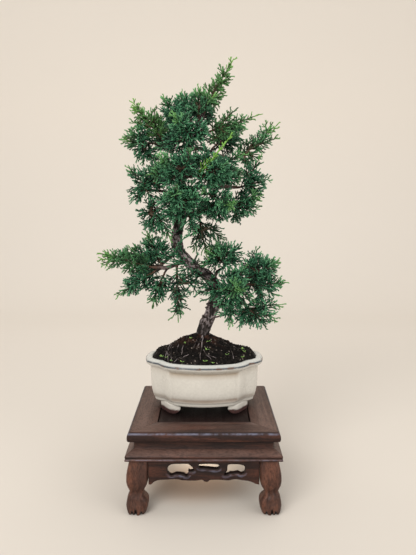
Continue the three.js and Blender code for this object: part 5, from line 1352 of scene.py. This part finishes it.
for k, (name, (points, radii)) in enumerate(LIMBS.items()):
    path, walked = even_path(points, WOOD_KINDS["limb"][0])
    limb_paths[name] = path
    knots = 1 + 0.08 * soft_noise(path + 7 * k, 5.0, 50)
    skins.append(skin("limb", k, path, walked, tapered(radii, walked, 0.35, 3) * knots))

solids = {name: cad_solid(f"spray_{name}") for name in TWIGS}
for k, (name, (limb, at, foot)) in enumerate(TWIGS.items()):
    corners, triangles = solids[name]
    middles = corners[triangles].mean(1)
    cap = corners[triangles[np.argmin(np.linalg.norm(middles - foot, axis=1))]]
    arrive = unit(np.cross(cap[2] - cap[0], cap[1] - cap[0]))
    path = limb_paths[limb]
    start = path[int(round(at * (len(path) - 1)))]
    line = arched(start, foot + 0.6 * arrive, arrive, WOOD_KINDS["twig"][0])
    walked = np.linspace(0, np.linalg.norm(foot - start), len(line))
    skins.append(skin("twig", k, line, walked, tapered(TWIG_RADII, walked, 0.25, 2)))

for kind, routes in (("root", ROOTS), ("rootlet", ROOTLETS)):
    skins += [lying_root(kind, k, route, radii) for k, (route, radii) in enumerate(routes)]

points, quads, caps, places, states = joined(skins, kinds=2)
wood = add_mesh("juniper_wood", points, [quads, caps],
                {"bark_place": places, "bark_state": states})

bark, tree, shader = new_material("juniper_bark", Roughness=0.88, Specular_IOR_Level=0.3)
place = mark(tree, "bark_place", "Vector")
state = parts_of(tree, mark(tree, "bark_state", "Vector"))
fibre = noise(tree, stretched(tree, place, (1, 1, 0.13)), 0.9, 6.0, Roughness=0.68)
patch = noise(tree, place, 0.16, 3.0)
_, plate = cells(tree, stretched(tree, place, (1, 1, 0.45)), 0.55, Detail=1.0)
height = parts_of(tree, object_place(tree))["Z"]
# Pale grey band low on the trunk: pale bark and partly painted light
pale_and_lit = times(tree, spread(tree, height, *PALE_LIT_IN), spread(tree, height, *PALE_LIT_OUT))
pale_and_lit = times(tree, pale_and_lit, spread(tree, fibre, 0.42, 0.62, 0.1, 0.9))
young = blended(tree, spread(tree, fibre, 0.3, 0.7), BARK_YOUNG, shaded(BARK_YOUNG, 0.45))
aged = layered(
    tree, BARK_BROWN, (spread(tree, fibre, 0.34, 0.64), BARK_GREY),
    (spread(tree, patch, 0.5, 0.72, 0, 0.5), BARK_YOUNG), (pale_and_lit, BARK_PALE),
    (spread(tree, state["Y"], -1.0, -0.5, 1, 0), ROOT_BARE), (state["Y"], young))
flaked = layered(tree, aged, (spread(tree, plate["Red"], 0.55, 0.75, 0, 0.85), BARK_DARK),
                 (spread(tree, plate["Green"], 0.80, 0.92, 0, 0.75), BARK_PALE))
feed(tree, shader, Base_Color=layered(
    tree, aged, (spread(tree, state["Y"], 0.1, 0.4, 1, 0), flaked),
    (spread(tree, state["X"], 0.45, 0.85, 0, 0.92), BARK_DARK),
    (spread(tree, state["Z"], 0.0, 1.0, 0, 0.72), BARK_DARK)))
roughen(tree, shader, fibre, 0.8, 0.8)
wood.data.materials.append(bark)
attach(wood, "root")
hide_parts("tree_wood")


# Foliage: sprays of mature juniper foliage. Each shoot is a thin cord wrapped in tiny scale
# leaves, with shorter cords left and right of it like a feather and side tips on those. They
# are blue-green with fresher tips; one spray is a bare yellow-green runner.
CORD_RADIUS = 0.68
FINGER_RADIUS = 0.62
NUB_RADIUS = 0.52
FINGER_MOST = 9.5
# Fingers longer than these carry a side tip, and two
NUB_FROM = 4.6
NUBS_FROM = 7
# Degrees by which a finger leaves its spine, and by which its tip still stands off
OPEN_BY = (30, 46)
CLOSE_BY = (16, 32)
# The first leaf colour is near black, for painted shade deep in a spray and at the cords' feet
LEAF_DEEP_SHADE = (0.0028, 0.0150, 0.0085)
LEAF_BODY = (0.036, 0.165, 0.080)
LEAF_FRESH = (0.135, 0.370, 0.190)
LEAF_YELLOW = (0.150, 0.330, 0.055)
TWIG_BROWN = (0.085, 0.042, 0.024)
# Leaves are darkened to near black at the feet of the cords and deep inside a spray, partly older
# leaves and partly painted shade, and are fresher, lighter and yellower at its outside
DEEP_FRESH_AND_LIT = 0.34
OUTER_FRESH_AND_LIT = 0.82
OUTER_YELLOW = 0.45
# How far a spray's colour leans to yellow-green (above 0) or to blue (below 0)
SPRAY_TONE = {"bright": 1.3, "corner_left": 0.4, "right_high": 0.3, "apex": 0.4, "peak": 0.12,
              "far_right": 0.22, "pad_left_tip": 0.25, "right_hem": 0.12, "front_low": -0.1}
# How full of fingers a spray's shoots are, and how fresh and lit its leaves are painted, where it
# differs from the others
SPRAY_FULLNESS = {"right_hem": (0.35, 0.45), "pad_left_hang": (0.55, 0.8), "bright": (1.0, 1.25),
                  "pad_left_drop": (0.75, 0.9)}
# How far out in its spray a sprig counts as
SPRIG_OUTWARD = 0.75
# Sprigs straight from the trunk, by the spray they count with: height of the start, and the tip
SPRIGS = {
    "front_low": [(268, (-19, -14, 284)), (262, (-34, -9, 268)), (284, (-20, -12, 296))],
    "pad_left_hang": [(231, (-14, -13, 245)), (233, (-7, -14, 224)), (247, (-8, -14, 260)),
                      (241, (-24, -11, 220)), (244, (-12, -11, 217)), (252, (-31, -8, 259)),
                      (256, (-38, -9, 266)), (250, (-43, -8, 252)), (247, (-34, -10, 241)),
                      (258, (-26, -12, 270)), (252, (-49, -7, 262)), (246, (-22, -13, 238))],
    "pad_right_front": [(224, (-8, -9, 219)), (229, (6, -12, 236)), (220, (1, -13, 211))],
}
# Stations along each kind of cord as (share of its length, share of its thickness), its sides
CORD_SHAPES = {
    "spine": (((0, 0.9), (0.3, 1.0), (0.6, 0.92), (0.9, 0.72)), 4),
    "finger": (((0, 0.8), (0.45, 1.0), (0.88, 0.82)), 4),
    "nub": (((0, 0.85), (0.7, 0.95)), 4),
}


def along_bow(start, first, last, length, t):
    """Points of bowed lines, one line a row: start + length * (first * t + (last - first) *
    t^2 / 2)."""
    return start + length * (first * t + 0.5 * (last - first) * t ** 2)


def cords(start, first, last, length, thick, roll, shape):
    """Many short cords of one radius at once. Rings of points stand square to their bowed
    middle lines at the shape's stations, and one point makes the tip. A face closes the foot."""
    stations, sides = shape
    s, share = np.array(stations).T
    t = np.append(s, 1.0)[None, :, None]
    centre = along_bow(start[:, None], first[:, None], last[:, None], length[:, None, None], t)
    tangent = unit(first[:, None] * (1 - t) + last[:, None] * t)[:, :-1]
    side = unit(np.cross(tangent, roll[:, None]))
    over = np.cross(tangent, side)
    angle = 2 * np.pi * np.arange(sides) / sides
    ring = np.cos(angle)[:, None] * side[:, :, None] + np.sin(angle)[:, None] * over[:, :, None]
    ring = centre[:, :-1, None] + (thick * share)[:, None, None] * ring
    count = len(start)
    body = np.concatenate([ring.reshape(count, -1, 3), centre[:, -1:]], 1)
    size = body.shape[1]
    k = np.arange(sides)
    last_ring = (len(s) - 1) * sides
    tip = np.stack([last_ring + k, last_ring + (k + 1) % sides, np.full(sides, size - 1)], -1)
    step = size * np.arange(count)[:, None, None]
    quads = (grid_faces(len(s), sides)[None] + step).reshape(-1, 4)
    tips = (tip[None] + step).reshape(-1, 3)
    foot = (k[::-1][None, None] + step).reshape(-1, sides)
    return body, (quads, tips, foot), np.append(np.repeat(s, sides), 1.0)


def shoots_and_stem(corners, triangles):
    """Splits a spray's solid into its shoots and its stem. A shoot is a corner where just three
    triangles meet: its base is the middle of the three corners around it. The stem is what is
    left, closed by the shoots' base triangles."""
    meeting = np.bincount(triangles.ravel(), minlength=len(corners))
    at = (meeting == 3)[triangles]
    side = at.any(1)
    rows = np.nonzero(side)[0]
    owner = triangles[at]
    order = np.argsort(owner, kind="stable")
    owner, rows = owner[order], rows[order]
    turn = np.argmax(at[rows], axis=1)
    p = triangles[rows, (turn + 1) % 3]
    q = triangles[rows, (turn + 2) % 3]
    third = (p + q).reshape(-1, 3).sum(1) // 2 - p[::3] - q[::3]
    bases = np.stack([p[::3], q[::3], third], -1)
    stem = np.concatenate([triangles[~side], bases])
    return corners[owner[::3]], corners[bases].mean(1), stem


def feathered(tip, base, outward, full, rng):
    """Cords of every shoot: a spine from base to tip, fingers that leave it in turn to the left
    and right and bend forward, shorter towards the tip, and side tips on the fingers. Gives the
    cords of each kind, with their freshness at foot and tip, lower at the foot as painted shade,
    and the shoot they belong to."""
    span = tip - base
    length = np.linalg.norm(span, axis=1)
    way = span / length[:, None]
    lift = np.array([0, 0, 1.0]) - way * way[:, 2:]
    bow = 0.12 * lift + 0.10 * rng.normal(size=way.shape)
    bow -= way * np.sum(bow * way, axis=1)[:, None]
    first, last = way - bow, way + bow
    roll = unit(np.cross(way, rng.normal(size=way.shape)))
    over = np.cross(way, roll)
    grown = rng.uniform(-0.3, 0.22, len(length))
    yield ("spine", base, first, last, length, CORD_RADIUS, roll,
           0.05 + grown, 1.0 + grown, np.arange(len(length)))

    crowd = 0.50 * (length - 3.0) * (1.3 - 0.5 * outward) + rng.uniform(-0.5, 0.5, len(length))
    count = np.clip(np.round(crowd * full), 0, 6).astype(int)
    shoot = np.repeat(np.arange(len(length)), count)
    rank = np.arange(len(shoot)) - np.repeat(np.cumsum(count) - count, count)
    t = 0.05 + 0.84 * (rank + 0.3 + 0.5 * rng.random(len(shoot))) / count[shoot]
    start = along_bow(base[shoot], first[shoot], last[shoot], length[shoot, None], t[:, None])
    spin = np.pi * rank + 0.45 * rng.normal(size=len(shoot)) + 1.3 * (rank % 3 == 2)
    radial = np.cos(spin)[:, None] * roll[shoot] + np.sin(spin)[:, None] * over[shoot]
    reach = (0.80 - 0.45 * t) * length[shoot] * rng.uniform(0.75, 1.15, len(shoot)) + 2.2
    reach = np.minimum(reach, FINGER_MOST)
    open_by = np.radians(rng.uniform(*OPEN_BY, len(shoot)))[:, None]
    close_by = np.radians(rng.uniform(*CLOSE_BY, len(shoot)))[:, None]
    leave = np.cos(open_by) * way[shoot] + np.sin(open_by) * radial
    arrive = np.cos(close_by) * way[shoot] + np.sin(close_by) * radial + 0.1 * lift[shoot]
    flat_side = unit(np.cross(way[shoot], radial))
    tone = grown[shoot] + rng.uniform(-0.42, 0.36, len(shoot))
    yield ("finger", start, leave, arrive, reach, FINGER_RADIUS, flat_side,
           -0.05 + 0.42 * t + tone, 0.72 + 0.42 * t + tone, shoot)

    own = np.concatenate([np.nonzero(reach > NUB_FROM)[0], np.nonzero(reach > NUBS_FROM)[0]])
    second = np.arange(len(own)) >= np.sum(reach > NUB_FROM)
    u = np.where(second, 0.3, 0.58) + rng.uniform(-0.08, 0.08, len(own))
    origin = along_bow(start[own], leave[own], arrive[own], reach[own, None], u[:, None])
    ahead = unit(leave[own] * (1 - u[:, None]) + arrive[own] * u[:, None])
    beside = np.cross(ahead, flat_side[own])
    swing = np.where(second, np.pi, 0) + 0.6 * rng.normal(size=len(own))
    aside = np.cos(swing)[:, None] * beside + np.sin(swing)[:, None] * flat_side[own]
    yield ("nub", origin, unit(ahead + 0.7 * aside), unit(ahead + 0.42 * aside),
           (1 - u) * reach[own] * 0.75 + 1.2, NUB_RADIUS, flat_side[own],
           0.1 + 0.3 * u + tone[own], 0.78 + 0.3 * t[own] + tone[own], shoot[own])


leafy, tree, shader = new_material("juniper_foliage", Roughness=0.55, Specular_IOR_Level=0.35)
place = object_place(tree)
leaf = parts_of(tree, mark(tree, "leaf", "Vector"))
scales = node(tree, "ShaderNodeTexVoronoi", {"Vector": place, "Scale": 1400.0}).outputs["Distance"]
mottle = noise(tree, place, 60.0, 3.0)
# Near black where the leaves are painted in shade, up to the body and fresh colours
colour = layered(tree, LEAF_DEEP_SHADE, (spread(tree, leaf["X"], 0.05, 0.55), LEAF_BODY),
                 (spread(tree, leaf["X"], 0.55, 1.05), LEAF_FRESH),
                 (spread(tree, mottle, 0.42, 0.7, 0, 0.45), shaded(LEAF_BODY, 0.6)))
scaled = blended(tree, spread(tree, scales, 0.15, 0.75), shaded(WHITE, 1.12), shaded(WHITE, 0.72))
colour = blended(tree, 1.0, colour, scaled, "MULTIPLY")
yellowed = times(tree, leaf["Y"], spread(tree, leaf["X"], -0.3, 0.6, 0.35, 1))
feed(tree, shader, Base_Color=layered(
    tree, colour, (spread(tree, yellowed, 0.0, 0.9), LEAF_YELLOW), (leaf["Z"], TWIG_BROWN)))
roughen(tree, shader, scales, 0.6, 0.3, invert=True)

for k, (name, (corners, triangles)) in enumerate(solids.items()):
    rng = np.random.default_rng(900 + k)
    foot = TWIGS[name][2]
    full, lit = SPRAY_FULLNESS.get(name, (1.0, 1.0))
    tone = SPRAY_TONE.get(name, 0.0)
    tip, base, stem = shoots_and_stem(corners, triangles)
    sprigs = SPRIGS.get(name, [])
    tip = np.vstack([tip, *(place for _, place in sprigs)])
    base = np.vstack([base, *(on_trunk(height) for height, _ in sprigs)])
    reached = np.linalg.norm(corners - foot, axis=1)
    outward = np.clip(np.linalg.norm(tip - foot, axis=1) / reached.max(), 0, 1)
    outward[len(tip) - len(sprigs):] = SPRIG_OUTWARD
    used, stem = np.unique(stem, return_inverse=True)
    brown = np.clip(1.15 - reached[used] / (0.75 * reached.max()), 0, 1) * (tone < 1)
    stem_fresh_and_lit = np.full(len(used), 0.15 + 0.5 * (tone > 1))
    points = [corners[used]]
    leaf_state = [np.stack([stem_fresh_and_lit, np.full(len(used), tone), brown], -1)]
    faces = [stem.reshape(-1, 3)]
    filled = len(used)
    for kind, *cord, old, new, shoot in feathered(tip, base, outward, full, rng):
        body, parts, along = cords(*cord, CORD_SHAPES[kind])
        # Painted light and shade: leaves darker at the cords' feet and deep in the spray, lighter
        # outside
        gain = lit * (DEEP_FRESH_AND_LIT + OUTER_FRESH_AND_LIT * outward[shoot, None])
        fresh_and_lit = (old[:, None] + (new - old)[:, None] * along) * gain
        yellow = tone + OUTER_YELLOW * np.clip((outward[shoot, None] - 0.7) / 0.3, 0, 1)
        state = np.dstack([fresh_and_lit, yellow + 0 * fresh_and_lit, 0 * fresh_and_lit])
        points.append(body.reshape(-1, 3))
        leaf_state.append(state.reshape(-1, 3))
        faces.extend(part + filled for part in parts)
        filled += body.shape[0] * body.shape[1]
    spray = add_mesh(f"foliage_{name}", np.concatenate(points), faces,
                     {"leaf": np.concatenate(leaf_state)})
    spray.data.materials.append(leafy)
    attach(spray, "root")
    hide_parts(f"spray_{name}")
